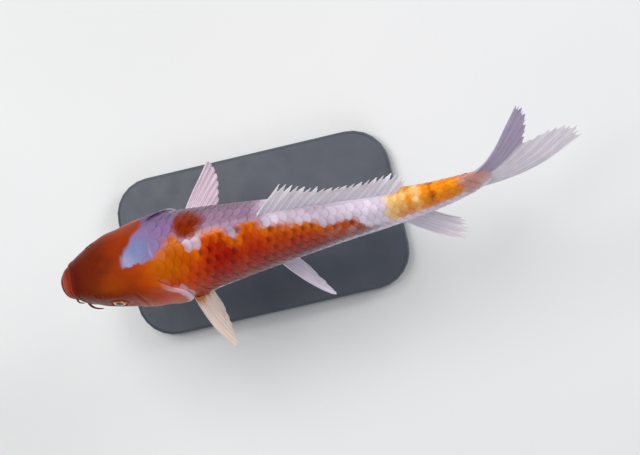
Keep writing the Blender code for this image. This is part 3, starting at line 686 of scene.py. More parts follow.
def live_skin():
    """Wet, painted skin: fine pores and a little unevenness under a clear coat."""
    material, tree, shader = finish("live_skin", {
        "Metallic": 0.02, "Coat Weight": 0.13, "Specular IOR Level": 0.07,
        "Subsurface Weight": 0.08, "Subsurface Radius": (0.0020, 0.0008, 0.0005),
    })
    paint = attribute(tree, "paint").outputs["Color"]
    pores = blend(tree, ranged(tree, noise(tree, 900.0, 4.0), 0.0, 1.0), PORE_SHADE, UNSHADED)
    tree.links.new(blend(tree, 0.20, paint, pores, "MULTIPLY"), shader.inputs["Base Color"])
    grained(tree, shader, (420.0, 0.26, 0.44), (500.0, 3.0, 0.35, 0.00025), (3000.0, 2.0, 0.30, 0.00006))
    return material


# Feelers: share of the length, degrees round, length and root radius in shares of the length
FEELERS = ((0.026, 102.0, 0.026, 0.0034), (0.047, 124.0, 0.052, 0.0042))
FEELER_STEPS, FEELER_SPREAD, FEELER_TAPER, FEELER_TIP = 14, 1.15, 0.62, 0.55


def grow_feeler(bm, side, at, around, length, radius):
    """Draws a patch of the skin out into a tapering feeler that bends back and ends blunt."""
    at, around = np.array(at), np.array(side * around)
    root, normal = body_point(at, around), body_normal(at, around)
    _, tailward, _, dorsal = frame_at(at)
    bend = unit(tailward * 0.55 - dorsal * 0.75)

    def path(t):
        out = normal * (0.35 * math.sin(min(t, 1.0) * math.pi * 0.6)) + bend * t * (0.4 + 0.6 * t)
        return root + out * length * BODY_LENGTH

    def ring_frame(t):
        forward = unit(path(t + 0.02) - path(t))
        first = unit(np.cross(forward, tailward))
        return first, np.cross(forward, first)

    spread = FEELER_SPREAD * radius * BODY_LENGTH
    faces = [f for f in bm.faces if (f.calc_center_median() - Vector(root)).length < spread + 0.4 * MM]
    faces = [f for f in faces if abs((f.calc_center_median() - Vector(root)).dot(Vector(normal))) < spread]
    first, second = ring_frame(0.0)
    offsets = {}
    for vert in {v for f in faces for v in f.verts}:
        away = np.array(vert.co) - root
        offsets[vert] = np.array([away @ first, away @ second])
    reach = max(np.linalg.norm(offset) for offset in offsets.values())
    for step in range(1, FEELER_STEPS + 1):
        t = step / FEELER_STEPS
        known = {tuple(vert.co): offset for vert, offset in offsets.items()}
        made = bmesh.ops.extrude_face_region(bm, geom=faces)["geom"]
        bmesh.ops.delete(bm, geom=faces, context="FACES")
        faces = [g for g in made if isinstance(g, bmesh.types.BMFace)]
        offsets = {g: known[tuple(g.co)] for g in made if isinstance(g, bmesh.types.BMVert)}
        first, second = ring_frame(t)
        thick = radius * BODY_LENGTH * (1 - FEELER_TAPER * t) * (1.0 if step < FEELER_STEPS else FEELER_TIP)
        for vert, offset in offsets.items():
            across = offset / reach * thick
            vert.co = Vector(path(t) + first * across[0] + second * across[1])


UNWRAP_MARGIN, SNOUT_STRETCH = 0.02, 0.30


def unwrapped(share, degrees):
    """A place on the skin's flat unwrap, cut along the belly."""
    reach = share + SNOUT_STRETCH * np.sqrt(np.maximum(share, 0.0))
    most = 1.0 + TAIL_FLESH + SNOUT_STRETCH * math.sqrt(1.0 + TAIL_FLESH)
    used = 1.0 - 2 * UNWRAP_MARGIN
    return UNWRAP_MARGIN + used * reach / most, 0.5 + used * degrees / 360.0


def numbers_of(items, key):
    """One whole number of each of a mesh's corners or faces."""
    numbers = np.zeros(len(items), int)
    items.foreach_get(key, numbers)
    return numbers


def points_of(mesh):
    co = np.zeros(len(mesh.vertices) * 3)
    mesh.vertices.foreach_get("co", co)
    return co.reshape(-1, 3)


def mesh_from(bm, name):
    """Makes a mesh of a bmesh and lets the bmesh go."""
    mesh = bpy.data.meshes.new(name)
    bm.to_mesh(mesh)
    bm.free()
    return mesh


def unwrap_skin(mesh, share, degrees):
    """Lays the skin flat as one piece. A face that crosses the belly's cut stays on one side of it."""
    corner = numbers_of(mesh.loops, "vertex_index")
    starts = numbers_of(mesh.polygons, "loop_start")
    angle = degrees[corner]
    low, high = np.minimum.reduceat(angle, starts), np.maximum.reduceat(angle, starts)
    face = np.repeat(np.arange(len(starts)), np.diff(np.append(starts, len(corner))))
    angle = np.where(((high - low) > 180)[face] & (angle < 0), angle + 360.0, angle)
    u, v = unwrapped(share[corner], angle)
    layer = mesh.uv_layers.new(name="OFBake")
    layer.data.foreach_set("uv", np.column_stack([u, v]).ravel())


def shown(mesh, name):
    """Puts a mesh in the scene as a smooth-shaded piece that rides with the model."""
    made = bpy.data.objects.new(name, mesh)
    bpy.context.scene.collection.objects.link(made)
    mesh.shade_smooth()
    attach(made, "root")
    return made


MOUTH_DEPTH, LIP_GAP = 1.9, 0.14  # millimetres


def built_skin():
    """One closed skin: rings from the lips to the tail, raised by the relief, with the feelers grown on."""
    share, degrees, along = skin_rings()
    lift = skin_lift(share, degrees, body_point(share, degrees), along)
    share, lift = open_gills(share, degrees, lift)
    normal = body_normal(share, degrees)
    points = body_point(share, degrees) + times(lift * MM, normal)

    # The lips part by a hair, and the mouth goes in a little way behind them
    segment = np.arange(SEGMENTS)
    above = np.minimum(segment, SEGMENTS - segment) <= CORNER_SEGMENT
    apart = np.where(above, LIP_GAP, -LIP_GAP) * (1 - np.abs(along) ** 4) * MM
    points[0] += times(apart, frame_at(share[0])[3])
    inner = points[0] - MOUTH_DEPTH * MM * normal[0]
    points = np.concatenate([[inner], points])
    share, degrees = np.concatenate([share[:1], share]), np.concatenate([degrees[:1], degrees])

    rings = len(points) + 1
    bm = bmesh.new()
    bmesh.ops.create_uvsphere(bm, u_segments=SEGMENTS, v_segments=rings, radius=1.0)
    bmesh.ops.reverse_faces(bm, faces=bm.faces[:])
    mesh = mesh_from(bm, "koi_skin")
    co = points_of(mesh)
    ring = np.rint(np.arccos(np.clip(co[:, 2], -1, 1)) / math.pi * rings).astype(int)
    turn = np.rint(np.arctan2(co[:, 1], co[:, 0]) / math.tau * SEGMENTS).astype(int) % SEGMENTS
    row = np.clip(ring - 1, 0, rings - 2)
    spots = points[row, turn]
    spots[ring == 0] = place(0.045, 0.0, -0.040 * BODY_LENGTH)
    spots[ring == rings] = place(1.0 + TAIL_FLESH, 0.0, 0.0)
    mesh.vertices.foreach_set("co", spots.ravel())
    colour, _ = paint_at(share[row, turn], degrees[row, turn])
    # The inside of the mouth is painted a darker red, as shade.
    inside = (ring <= 1)[:, None]
    colour_points(mesh, "paint", np.where(inside, FOLD_SHADE_RED * 0.5, colour))
    unwrap_skin(mesh, share[row, turn], degrees[row, turn])
    bm = bmesh.new()
    bm.from_mesh(mesh)
    for side in (1.0, -1.0):
        for feeler in FEELERS:
            grow_feeler(bm, side, *feeler)
    bm.to_mesh(mesh)
    bm.free()
    return mesh


skin = shown(built_skin(), "koi_skin")
skin.data.materials.append(live_skin())
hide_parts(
    "head", "lower_jaw", "gill_cover_left", "gill_cover_right", "trunk", "tail_stalk",
    "lip_barbel_left", "lip_barbel_right", "corner_barbel_left", "corner_barbel_right",
)

# ---------------------------------------------------------------------------------------------
# Eyes: glass eyes of the kind a taxidermist sets, with a flat gold iris, a bulging black pupil
# and a dark rim, each seated in its pit under the lids.

EYE_RADIUS, EYE_SUNK = 0.0215 * BODY_LENGTH, 0.0150 * BODY_LENGTH
# Shares of the eye's radius: the pupil and the iris, the iris's level over its rim, and its lens
PUPIL, IRIS, IRIS_LEVEL, LENS_BULGE, LENS_SPREAD = 0.42, 0.80, 0.17, 0.16, 1.03
IRIS_GOLD, IRIS_COPPER, EYE_DARK = srgb(222, 168, 74), srgb(146, 78, 30), srgb(10, 9, 10)


def glass_eye():
    """Black pupil, gilt iris and dark rim, all under thick clear glass."""
    material, tree, shader = finish("glass_eye", {
        "Roughness": 0.30, "Coat Weight": 1.0, "Coat Roughness": 0.02,
    })
    look = attribute(tree, "paint")
    fleck = ranged(tree, noise(tree, 2400.0, 3.0), 0.75, 1.05)
    tree.links.new(blend(tree, 1.0, look.outputs["Color"], fleck, "MULTIPLY"), shader.inputs["Base Color"])
    tree.links.new(look.outputs["Alpha"], shader.inputs["Metallic"])
    return material


def built_eye(name, side):
    """A ball whose front is flattened for the iris, with the lens standing out of it."""
    at, around = np.array(EYE_AT), np.array(side * EYE_AROUND)
    normal = body_normal(at, around)
    centre = body_point(at, around) - normal * EYE_SUNK
    bm = bmesh.new()
    bmesh.ops.create_uvsphere(bm, u_segments=64, v_segments=72, radius=1.0)
    mesh = mesh_from(bm, name)
    co = points_of(mesh)
    away = np.hypot(co[:, 0], co[:, 1])
    front = co[:, 2] > 0
    iris_level = math.sqrt(1 - IRIS**2) + IRIS_LEVEL
    flat = np.minimum(co[:, 2], iris_level + 0.05 * smooth(PUPIL, IRIS, away))
    lens_edge = PUPIL * LENS_SPREAD
    lens = iris_level + LENS_BULGE * np.sqrt(np.clip(1 - (away / lens_edge) ** 2, 0, 1))
    co[:, 2] = np.where(front & (away < lens_edge), lens, np.where(front, flat, co[:, 2]))
    copper = smooth(0.60, 0.80, away) + hump(np.arctan2(co[:, 1], co[:, 0]), 0.0, 0.9) * 0.3
    colour = mix(IRIS_GOLD, np.clip(copper, 0, 1), IRIS_COPPER)
    dark = np.clip(1 - smooth(PUPIL, PUPIL + 0.05, away) + smooth(IRIS - 0.04, IRIS + 0.03, away), 0, 1)
    colour = mix(colour, np.where(front, dark, 1.0), EYE_DARK)
    turn = np.array(Vector(normal).to_track_quat("Z", "Y").to_matrix())
    mesh.vertices.foreach_set("co", (centre + co @ turn.T * EYE_RADIUS).ravel())
    colour_points(mesh, "paint", colour, 0.75 * (1 - np.where(front, dark, 1.0)))
    return mesh


eye_glass = glass_eye()
for side, word in ((1.0, "left"), (-1.0, "right")):
    ball = shown(built_eye(f"koi_eye_{word}", side), f"koi_eye_{word}")
    ball.data.materials.append(eye_glass)
    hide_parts(f"eye_{word}")

# ---------------------------------------------------------------------------------------------
# Scales: thin overlapping shields in slanting rows from the nape and gill covers to the tail,
# each cast with its neighbours, pearl-lacquered and painted by hand with a pencilled heart.

FIRST_COLUMN, COLUMN_STEP, COLUMN_CLOSING, COLUMNS = 0.226, 0.0216, 0.00004, 41
LATERAL_LINE = ((0.24, 76), (0.30, 83), (0.42, 90), (0.62, 92), (0.82, 91), (1.04, 90))
ROWS_ABOVE = ((0.24, 6.3), (0.45, 6.3), (0.56, 5.9), (0.80, 4.7), (1.04, 4.2))
ROWS_BELOW = ((0.24, 6.0), (0.52, 6.0), (0.66, 5.5), (0.82, 4.4), (1.04, 4.0))
SCALE_LONG, SCALE_TALL = 1.92, 0.84  # in columns, and to each side in rows
SCALE_RISE, SCALE_DOME, SCALE_EDGE = 0.38, 0.13, 0.07  # millimetres
SCALE_ROUNDING, ROUNDING_REACH = 0.42, 0.8  # how far the rear's corners fall back
ACROSS, ALONG = 8, 5  # squares of one scale
FLANK_ROWS, BACK_ROW, BELLY_ROW = range(-6, 7), 99, -99
PATCH_HALF = 0.0015  # of one scale on the unwrap
PENCIL_SHADE, EDGE_SHADE = (0.50, 0.34, 0.34, 1.0), (0.80, 0.76, 0.82, 1.0)


def column_share(column):
    return FIRST_COLUMN + COLUMN_STEP * column - COLUMN_CLOSING * column**2


def row_degrees(share, row):
    """The angle round of a row's middle: row 0 follows the lateral line, 1 is the next above."""
    line = eased(LATERAL_LINE, 1, share)
    up = line - row * line / eased(ROWS_ABOVE, 1, share)
    down = line - row * (180.0 - line) / eased(ROWS_BELOW, 1, share)
    return np.where(row >= 0, up, down)


def scale_places():
    """Column, row and side of every scale: both flanks, and the rows over the back and belly."""
    places = []
    for row in FLANK_ROWS:
        for step in range(COLUMNS):
            column = step + 0.5 * (row % 2)
            tip = column_share(column + SCALE_LONG)
            degrees = float(row_degrees(np.array(tip), np.array(row)))
            pitch = float(abs(row_degrees(np.array(tip), np.array(row + 1.0)) - degrees))
            edge = float(eased(GILL_EDGE, 1, max(degrees, 0.0)))
            last = 1.012 - 0.020 * ((degrees - 90.0) / 60.0) ** 2
            if not edge + 0.004 < tip < last:
                continue
            if degrees < 0.38 * pitch or degrees > 180.0 - 0.38 * pitch:
                continue
            places += [(column, row, 1.0), (column, row, -1.0)]
    for step in range(COLUMNS):
        tip = column_share(step + SCALE_LONG)
        if 0.242 < tip < 0.494 or 0.845 < tip < 0.99:
            places.append((step, BACK_ROW, 1.0))
        if 0.215 < tip < 0.772 or 0.900 < tip < 0.99:
            places.append((step, BELLY_ROW, 1.0))
    return np.array(places)


def one_scale():
    """A flat square shield, its underside one face: a pattern for all the others, whose rear is rounded
    where each is placed.
    """
    bm = bmesh.new()
    bmesh.ops.create_grid(bm, x_segments=ACROSS, y_segments=ALONG, size=1.0)
    rim = [e for e in bm.edges if e.is_boundary]
    wall = bmesh.ops.extrude_edge_only(bm, edges=rim)["geom"]
    for vert in {g for g in wall if isinstance(g, bmesh.types.BMVert)}:
        vert.co.z = -1.0
    bmesh.ops.contextual_create(bm, geom=[g for g in wall if isinstance(g, bmesh.types.BMEdge)])
    bmesh.ops.recalc_face_normals(bm, faces=bm.faces[:])
    return mesh_from(bm, "one_scale")


def worked(tree, operation, *values):
    """One step of arithmetic on sockets."""
    node = tree.nodes.new("ShaderNodeMath")
    node.operation = operation
    for value, socket in zip(values, node.inputs):
        tree.links.new(value, socket)
    return node.outputs[0]


def scale_lacquer():
    """Pearl lacquer: a soft metal glint, a fine tooth, a pencilled heart and a darker rim that is partly
    the scale's own edge line and partly painted shade.
    """
    material, tree, shader = finish("scale_lacquer", {
        "Metallic": 0.04, "Coat Weight": 0.09, "Coat Roughness": 0.10, "Specular IOR Level": 0.07,
    })
    paint, spot = attribute(tree, "paint"), attribute(tree, "spot")
    parts = tree.nodes.new("ShaderNodeSeparateXYZ")
    tree.links.new(spot.outputs["Vector"], parts.inputs["Vector"])
    reach, across, _ = parts.outputs
    # The rim's darkening is partly the scale's own edge line and partly painted shade along its rear edge.
    rim = ranged(tree, reach, 0.0, 1.0, 0.90, 1.0)
    heart = ranged(tree, reach, 1.0, 0.0, 0.58, 0.84)
    narrow = ranged(tree, worked(tree, "ABSOLUTE", across), 1.0, 0.0, 0.18, 0.62)
    bold = worked(tree, "MULTIPLY", worked(tree, "MULTIPLY", heart, narrow), paint.outputs["Alpha"])
    shaded = paint.outputs["Color"]
    for share, shade in ((bold, PENCIL_SHADE), (rim, EDGE_SHADE)):
        shaded = blend(tree, 1.0, shaded, blend(tree, share, UNSHADED, shade), "MULTIPLY")
    tree.links.new(shaded, shader.inputs["Base Color"])
    grained(tree, shader, (700.0, 0.24, 0.40), (1900.0, 3.0, 0.25, 0.00008))
    return material


def built_scales():
    """Every scale, bent from the flat pattern onto its place, as one joined mesh."""
    pattern = one_scale()
    across, along, under = points_of(pattern).T
    along = (along + 1.0) / 2.0
    rounding = SCALE_ROUNDING * (1.0 - np.sqrt(1.0 - 0.96 * across**2)) / ROUNDING_REACH
    reach = along * (1.0 - rounding)
    wide = across * (0.78 + 0.22 * smooth(0.0, 0.5, along))

    places = scale_places()
    count, each = len(places), len(across)
    column, row, side = (places[:, i][:, None] for i in range(3))
    dice = np.random.default_rng(11)
    own = dice.uniform(-1, 1, (count, 4))
    size = 1.0 + 0.03 * own[:, :1]
    share = column_share(column + reach[None] * SCALE_LONG * size)
    plain_row = np.where(np.abs(row) == BACK_ROW, 0, row)
    middle = row_degrees(share, plain_row)
    pitch = np.abs(row_degrees(share, plain_row + 1.0) - middle)
    middle = np.where(row == BACK_ROW, 0.0, np.where(row == BELLY_ROW, 180.0, middle))
    degrees = side * (middle + wide[None] * SCALE_TALL * pitch * size + 0.35 * own[:, 1:2])
    degrees = (degrees + 180.0) % 360.0 - 180.0

    height = SCALE_RISE * (reach[None] - 1.0) - SCALE_DOME * across[None] ** 2 + 0.02 + 0.03 * own[:, 2:3]
    lateral = (row == 0) * hump(across[None], 0.0, 0.16) * smooth(0.5, 0.7, reach)[None]
    height = height + 0.10 * lateral
    height = height + np.where(under[None] < 0, -SCALE_EDGE - 0.10 * (1 - reach[None]), 0.0)
    bulge = fin_base_relief(share, np.abs(degrees))
    ends = hump(np.abs(degrees), 0, 14) * within(share, 0.48, 0.84, 0.01)
    height = height + bulge * np.where(ends > 0.05, 0.55, 0.85)
    points = body_point(share, degrees) + times(height * MM, body_normal(share, degrees))

    tip_share = column_share(column[:, 0] + 0.80 * SCALE_LONG)
    tip_row = row_degrees(tip_share, plain_row[:, 0])
    row, side = row[:, 0], side[:, 0]
    tip_row = np.where(row == BACK_ROW, 0.0, np.where(row == BELLY_ROW, 180.0, tip_row)) * side
    colour, bold = paint_at(tip_share, tip_row, soft=0.6)
    own_paint, _ = paint_at(share.ravel(), degrees.ravel())
    own_paint = own_paint.reshape(count, each, 3)
    colour = 0.45 * colour[:, None, :] + 0.55 * own_paint
    colour = colour * (1 + 0.07 * own[:, 3:4, None]) * (1 - 0.10 * lateral[..., None])

    corner = numbers_of(pattern.loops, "vertex_index")
    starts, totals = (numbers_of(pattern.polygons, key) for key in ("loop_start", "loop_total"))
    mesh = bpy.data.meshes.new("koi_scales")
    mesh.vertices.add(count * each)
    mesh.vertices.foreach_set("co", points.reshape(-1))
    mesh.loops.add(count * len(corner))
    shift = np.arange(count)[:, None]
    mesh.loops.foreach_set("vertex_index", (corner[None] + each * shift).ravel())
    mesh.polygons.add(count * len(starts))
    mesh.polygons.foreach_set("loop_start", (starts[None] + len(corner) * shift).ravel())
    mesh.polygons.foreach_set("loop_total", np.tile(totals, count))
    mesh.update(calc_edges=True)
    mesh.validate()
    bold = np.clip(bold * (0.62 + 0.55 * own[:, 0]), 0, 1)
    colour_points(mesh, "paint", colour.reshape(-1, 3), np.repeat(bold, each))
    spot = np.zeros((count, each, 3))
    spot[..., 0], spot[..., 1] = reach + rounding, across
    layer = mesh.attributes.new("spot", "FLOAT_VECTOR", "POINT")
    layer.data.foreach_set("vector", spot.astype(np.float32).ravel())
    u, v = unwrapped(tip_share, tip_row)
    u = u[:, None] + PATCH_HALF * (2 * reach[None] - 1)
    v = v[:, None] + PATCH_HALF * across[None]
    uv = np.stack([u[:, corner], v[:, corner]], -1)
    layer = mesh.uv_layers.new(name="OFBake")
    layer.data.foreach_set("uv", uv.astype(np.float32).ravel())
    bpy.data.meshes.remove(pattern)
    return mesh


scales = shown(built_scales(), "koi_scales")
scales.data.set_sharp_from_angle(angle=math.radians(50.0))
scales.data.materials.append(scale_lacquer())

# ---------------------------------------------------------------------------------------------
# Fins: thin webs cast over branching rays. The rays stand proud on both faces, fork twice on the
# way out and end in a comb of soft tips, and each fin's root is buried in the flesh.

FIN_INSET, COLUMNS_PER_RAY, SURFACE_STEP = 0.012, 14, 0.004
DORSAL_BASE, DORSAL_RAYS = (0.500, 0.812), 20
DORSAL_SHAPE = (
    (0.00, 0.128, 38.0, 17.0), (0.12, 0.118, 38.0, 13.0), (0.35, 0.090, 40.0, 8.0),
    (0.60, 0.086, 42.0, 14.0), (0.85, 0.085, 44.0, 32.0), (1.00, 0.056, 48.0, 38.0),
)
ANAL_BASE, ANAL_RAYS = (0.795, 0.862), 8
ANAL_SHAPE = (
    (0.00, 0.152, 48.0, -46.0), (0.20, 0.168, 51.0, -48.0),
    (0.60, 0.138, 54.0, -52.0), (1.00, 0.098, 57.0, -56.0),
)
TAIL_RAYS, TAIL_ROOT_HALF, TAIL_SPREAD = 19, 0.055, 31.5
TAIL_MIDDLE, TAIL_UPPER_LOBE, TAIL_LOWER_LOBE = 0.142, 0.218, 0.262
# Paired fins: share and degrees round of the root; length and half root; then the long axis,
# the half angle of the fan, and how level the chord lies at the root and at the tip
PECTORAL_ROOT, PECTORAL_SIZE, PECTORAL_RAYS = (0.318, 120.0), (0.182, 0.024), 15
LEFT_PECTORAL_POSE = ((0.76, 0.18, -0.62), 9.0, 0.95, 0.10)
RIGHT_PECTORAL_POSE = ((-0.63, 0.50, -0.59), 13.0, 0.95, 0.60)
PELVIC_ROOT, PELVIC_SIZE, PELVIC_RAYS = (0.526, 150.0), (0.165, 0.019), 9
LEFT_PELVIC_POSE = ((0.70, 0.50, -0.50), 7.0, 0.95, 0.05)
RIGHT_PELVIC_POSE = ((-0.42, 0.60, -0.68), 8.0, 0.80, 0.20)


def median_fin_point(base, shape, upper):
    """A fin on the back or the belly: its rays slant tailward and lean over as they rise."""
    level, sign = (1, 1.0) if upper else (2, -1.0)

    def point(across, along):
        root = base[0] + (base[1] - base[0]) * across
        length, slant, lean = (eased(shape, column, across) for column in (1, 2, 3))
        tilt = np.radians(slant * (0.80 + 0.20 * along))
        sway = np.radians(lean * (0.40 + 0.60 * along))
        reach = (length + FIN_INSET) * along - FIN_INSET
        edge = eased(ROOTED_STATIONS, level, np.sqrt(root)) * sign
        side = -np.sin(sway) * reach * np.cos(tilt)
        height = sign * (edge + np.cos(sway) * reach * np.cos(tilt))
        return place(root + reach * np.sin(tilt), side * BODY_LENGTH, height * BODY_LENGTH)

    return point


def tail_point(across, along):
    """The forked tail: rays fan out from the root, longest near each lobe's edge."""
    split = 1 - 2 * across
    edge = np.abs(split)
    lobe = np.where(split > 0, TAIL_UPPER_LOBE, TAIL_LOWER_LOBE)
    rise = np.sin(np.minimum(edge * 1.12, 1.0) * math.pi / 2) ** 1.15
    length = TAIL_MIDDLE + (lobe - TAIL_MIDDLE) * rise
    spread = np.radians(TAIL_SPREAD) * split * (1.0 - 0.22 * along)
    reach = (length + FIN_INSET) * along - FIN_INSET
    height = TAIL_ROOT_HALF * split + reach * np.sin(spread)
    cup = 0.014 * along * along * (edge - 0.4)
    return place(1.0 + reach * np.cos(spread), cup * BODY_LENGTH, height * BODY_LENGTH)


def paired_fin_point(root, side, size, pose):
    """A twisted paddle from its root on the flank, which turns edge up towards its tip."""
    length, half_root = size
    axis, fan, root_level, tip_level = pose
    centre = body_point(np.array(root[0]), np.array(side * root[1]))
    axis = unit(np.array(axis))
    level = unit(np.array([-axis[1], axis[0], 0.0])) * side
    steep = unit(np.array([0.0, 0.0, -1.0]) + axis * axis[2])

    def point(across, along):
        flat = root_level + (tip_level - root_level) * along
        chord = times(flat, level) + times(np.sqrt(1 - flat**2), steep)
        face = np.cross(axis, chord)
        split = 2 * across - 1
        ray = length * (1 - 0.42 * across**1.6) * (1 - 0.14 * (1 - across) ** 4)
        angle = np.radians(fan) * split
        reach = (ray + FIN_INSET) * along - FIN_INSET
        out = times(np.cos(angle), axis) + times(np.sin(angle), chord)
        curl = times(0.05 * along * along * length, chord)
        curl = curl + times(0.04 * length * (along * along - 0.3 * split * split * along), face)
        return centre + (times(half_root * split, chord) + times(reach, out) + curl) * BODY_LENGTH

    return point


def ray_ridge(offset, along, forks):
    """How far a ray and its branches stand out, 0 to 1, at a distance from the ray's own line."""
    first = 0.18 * smooth(forks[0], forks[0] + 0.30, along)
    second = 0.085 * smooth(forks[1], forks[1] + 0.28, along)
    width = 0.115 - 0.070 * along
    ridge = np.zeros_like(offset)
    for one in (-1, 1):
        for two in (-1, 1):
            ridge = np.maximum(ridge, np.exp(-(((offset - one * first - two * second) / width) ** 2)))
    return ridge


def fin_slab(name, rays, rows, surface, comb, root_thick, stout, forks=(0.40, 0.66)):
    """A closed web whose thickness carries the rays: comb is how deep its edge is cut between them."""
    bm = bmesh.new()
    bmesh.ops.create_grid(bm, x_segments=(rays - 1) * COLUMNS_PER_RAY, y_segments=rows, size=0.5)
    far = bmesh.ops.extrude_face_region(bm, geom=bm.faces[:])["geom"]
    bmesh.ops.translate(bm, vec=(0, 0, 1), verts=[g for g in far if isinstance(g, bmesh.types.BMVert)])
    bmesh.ops.recalc_face_normals(bm, faces=bm.faces[:])
    mesh = mesh_from(bm, name)
    across, along, face = points_of(mesh).T
    across, along, face = across + 0.5, along + 0.5, 2 * face - 1

    place_on = across * (rays - 1)
    offset = place_on - np.rint(place_on)
    between = np.sin(np.abs(offset) * math.pi) ** 1.1
    soft = grain(across * rays * 0.9, along * 2.5, 21)
    frayed_tip = 1 - ray_ridge(offset, np.ones_like(along), forks)
    fray = comb * between * (1 + 0.5 * soft) + 0.25 * comb * frayed_tip
    uneven = 1 + grain(np.rint(place_on) * 1.7, 0 * along, 22)
    reach = along * (1 - fray * along**2) * (1 - 0.018 * uneven)
    point = surface(across, reach)
    before, behind = (surface(np.clip(across + way, 0, 1), reach) for way in (-SURFACE_STEP, SURFACE_STEP))
    inner, outer = (surface(across, reach + way) for way in (-SURFACE_STEP, SURFACE_STEP))
    normal = unit(np.cross(behind - before, outer - inner))
    ridge = ray_ridge(offset, reach, forks)
    joints = 1 - 0.10 * smooth(0.6, 0.95, np.sin(reach * 150.0)) * smooth(0.2, 0.35, reach)
    lead = np.exp(-place_on / 0.30) * stout
    half = 0.10 - 0.045 * reach + (0.30 - 0.20 * reach) * ridge * joints + lead * (1 - 0.6 * reach)
    half = half + root_thick * np.exp(-np.maximum(reach, 0) / 0.075)
    half = half * (0.35 + 0.65 * smooth(1.0, 0.955, along))
    edge_way = np.minimum(across, 1 - across) * (rays - 1)
    half = half * (0.35 + 0.65 * smooth(0.0, 0.22, edge_way + lead))
    wave = 0.35 * np.sin(place_on * math.pi) * smooth(0.15, 1.0, reach)
    wave = wave + 0.9 * grain(across * 4.0, reach * 1.6, 23) * smooth(0.2, 1.0, reach)
    point = point + times((face * half + wave) * MM, normal)
    mesh.vertices.foreach_set("co", point.ravel())
    return mesh, across, reach, ridge


def web_paint(across, along, ridge, root, web, ray, root_reach):
    """Pale rays over a cooler, darker web, with the body's colour run out along the root."""
    shade = 1 + 0.06 * grain(across * 30, along * 3, 31)
    colour = mix(web, ridge, ray)
    streak = root_reach * (0.75 + 0.35 * grain(across * 22, along * 0.7, 32))
    colour = mix(colour, 1 - smooth(0.35 * streak, 1.15 * streak, along), root)
    return np.clip(colour * shade[:, None], 0, 1)


WEB_CLOUD = (0.90, 0.89, 0.94, 1.0)


def fin_web():
    """Translucent horn-like web, faintly pearly and wet."""
    material, tree, shader = finish("fin_web", {
        "Metallic": 0.02, "Coat Weight": 0.22,
        "Subsurface Weight": 0.30, "Subsurface Radius": (0.0025, 0.0020, 0.0018),
    })
    paint = attribute(tree, "paint").outputs["Color"]
    cloudy = blend(tree, 1.0, paint, WEB_CLOUD, "MULTIPLY")
    worn = blend(tree, ranged(tree, noise(tree, 160.0), 0.0, 1.0), paint, cloudy)
    tree.links.new(worn, shader.inputs["Base Color"])
    grained(tree, shader, (900.0, 0.28, 0.46), (1600.0, 3.0, 0.25, 0.00008))
    return material


WEB, RAY = srgb(232, 222, 234), srgb(250, 246, 248)
# The upper lobe's paints are the web's paints darkened and cooled, as painted shade.
SHADED_UPPER_LOBE, SHADED_UPPER_RAY = srgb(170, 154, 184), srgb(196, 182, 206)
PECTORAL_ORANGE = srgb(214, 132, 62)
PECTORAL_WEB, PECTORAL_RAY = srgb(238, 216, 202), srgb(248, 234, 220)
RIGHT_WEB, RIGHT_RAY = srgb(220, 196, 212), srgb(240, 224, 232)
PELVIC_WEB, PELVIC_RAY = srgb(214, 204, 222), srgb(240, 232, 240)
web_finish = fin_web()


def add_fin(name, mesh, colour):
    colour_points(mesh, "paint", colour)
    made = shown(mesh, f"koi_{name}")
    mesh.materials.append(web_finish)
    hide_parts(name)


def add_painted_fin(name, slab, *paints):
    """A fin of one web and ray paint. Slab: rays, rows, surface, comb, root's thickness, first ray."""
    mesh, across, along, ridge = fin_slab(f"koi_{name}", *slab)
    add_fin(name, mesh, web_paint(across, along, ridge, *paints))


dorsal_surface = median_fin_point(DORSAL_BASE, DORSAL_SHAPE, True)
anal_surface = median_fin_point(ANAL_BASE, ANAL_SHAPE, False)
add_painted_fin("dorsal_fin", (DORSAL_RAYS, 44, dorsal_surface, 0.17, 0.75, 0.42), PEARL, WEB, RAY, 0.14)
add_painted_fin("anal_fin", (ANAL_RAYS, 44, anal_surface, 0.10, 0.80, 0.35), BELLY_WHITE, WEB, RAY, 0.14)

slab = (TAIL_RAYS, 60, tail_point, 0.045, 0.55, 0.15)
mesh, across, along, ridge = fin_slab("koi_tail_fin", *slab, forks=(0.34, 0.60))
# The upper lobe is painted darker, as shade.
upper = smooth(0.56, 0.42, across)
colour = mix(mix(WEB, upper, SHADED_UPPER_LOBE), ridge, mix(RAY, upper, SHADED_UPPER_RAY))
rust = 1 - smooth(0.05, 0.24, along + 0.05 * grain(across * 16, along * 2, 33))
colour = mix(colour, rust * shelf(across, 0.10, 0.32, 0.72, 0.95) * 0.8, TAIL_RUST)
add_fin("tail_fin", mesh, np.clip(colour * (1 + 0.06 * grain(across * 40, along * 3, 34))[:, None], 0, 1))

for side, word, pectoral, pelvic, web, ray, root_reach in (
    (1.0, "left", LEFT_PECTORAL_POSE, LEFT_PELVIC_POSE, PECTORAL_WEB, PECTORAL_RAY, 0.27),
    (-1.0, "right", RIGHT_PECTORAL_POSE, RIGHT_PELVIC_POSE, RIGHT_WEB, RIGHT_RAY, 0.16),
):
    surface = paired_fin_point(PECTORAL_ROOT, side, PECTORAL_SIZE, pectoral)
    slab = (PECTORAL_RAYS, 50, surface, 0.015, 1.15, 0.30)
    add_painted_fin(f"pectoral_fin_{word}", slab, PECTORAL_ORANGE, web, ray, root_reach)
    surface = paired_fin_point(PELVIC_ROOT, side, PELVIC_SIZE, pelvic)
    slab = (PELVIC_RAYS, 46, surface, 0.020, 0.95, 0.30)
    add_painted_fin(f"pelvic_fin_{word}", slab, BELLY_WHITE, PELVIC_WEB, PELVIC_RAY, 0.16)

# ---------------------------------------------------------------------------------------------
# Room: a plain pale floor, soft studio light from above, and a camera high over the fish, a
# little behind its middle, that looks down on it.

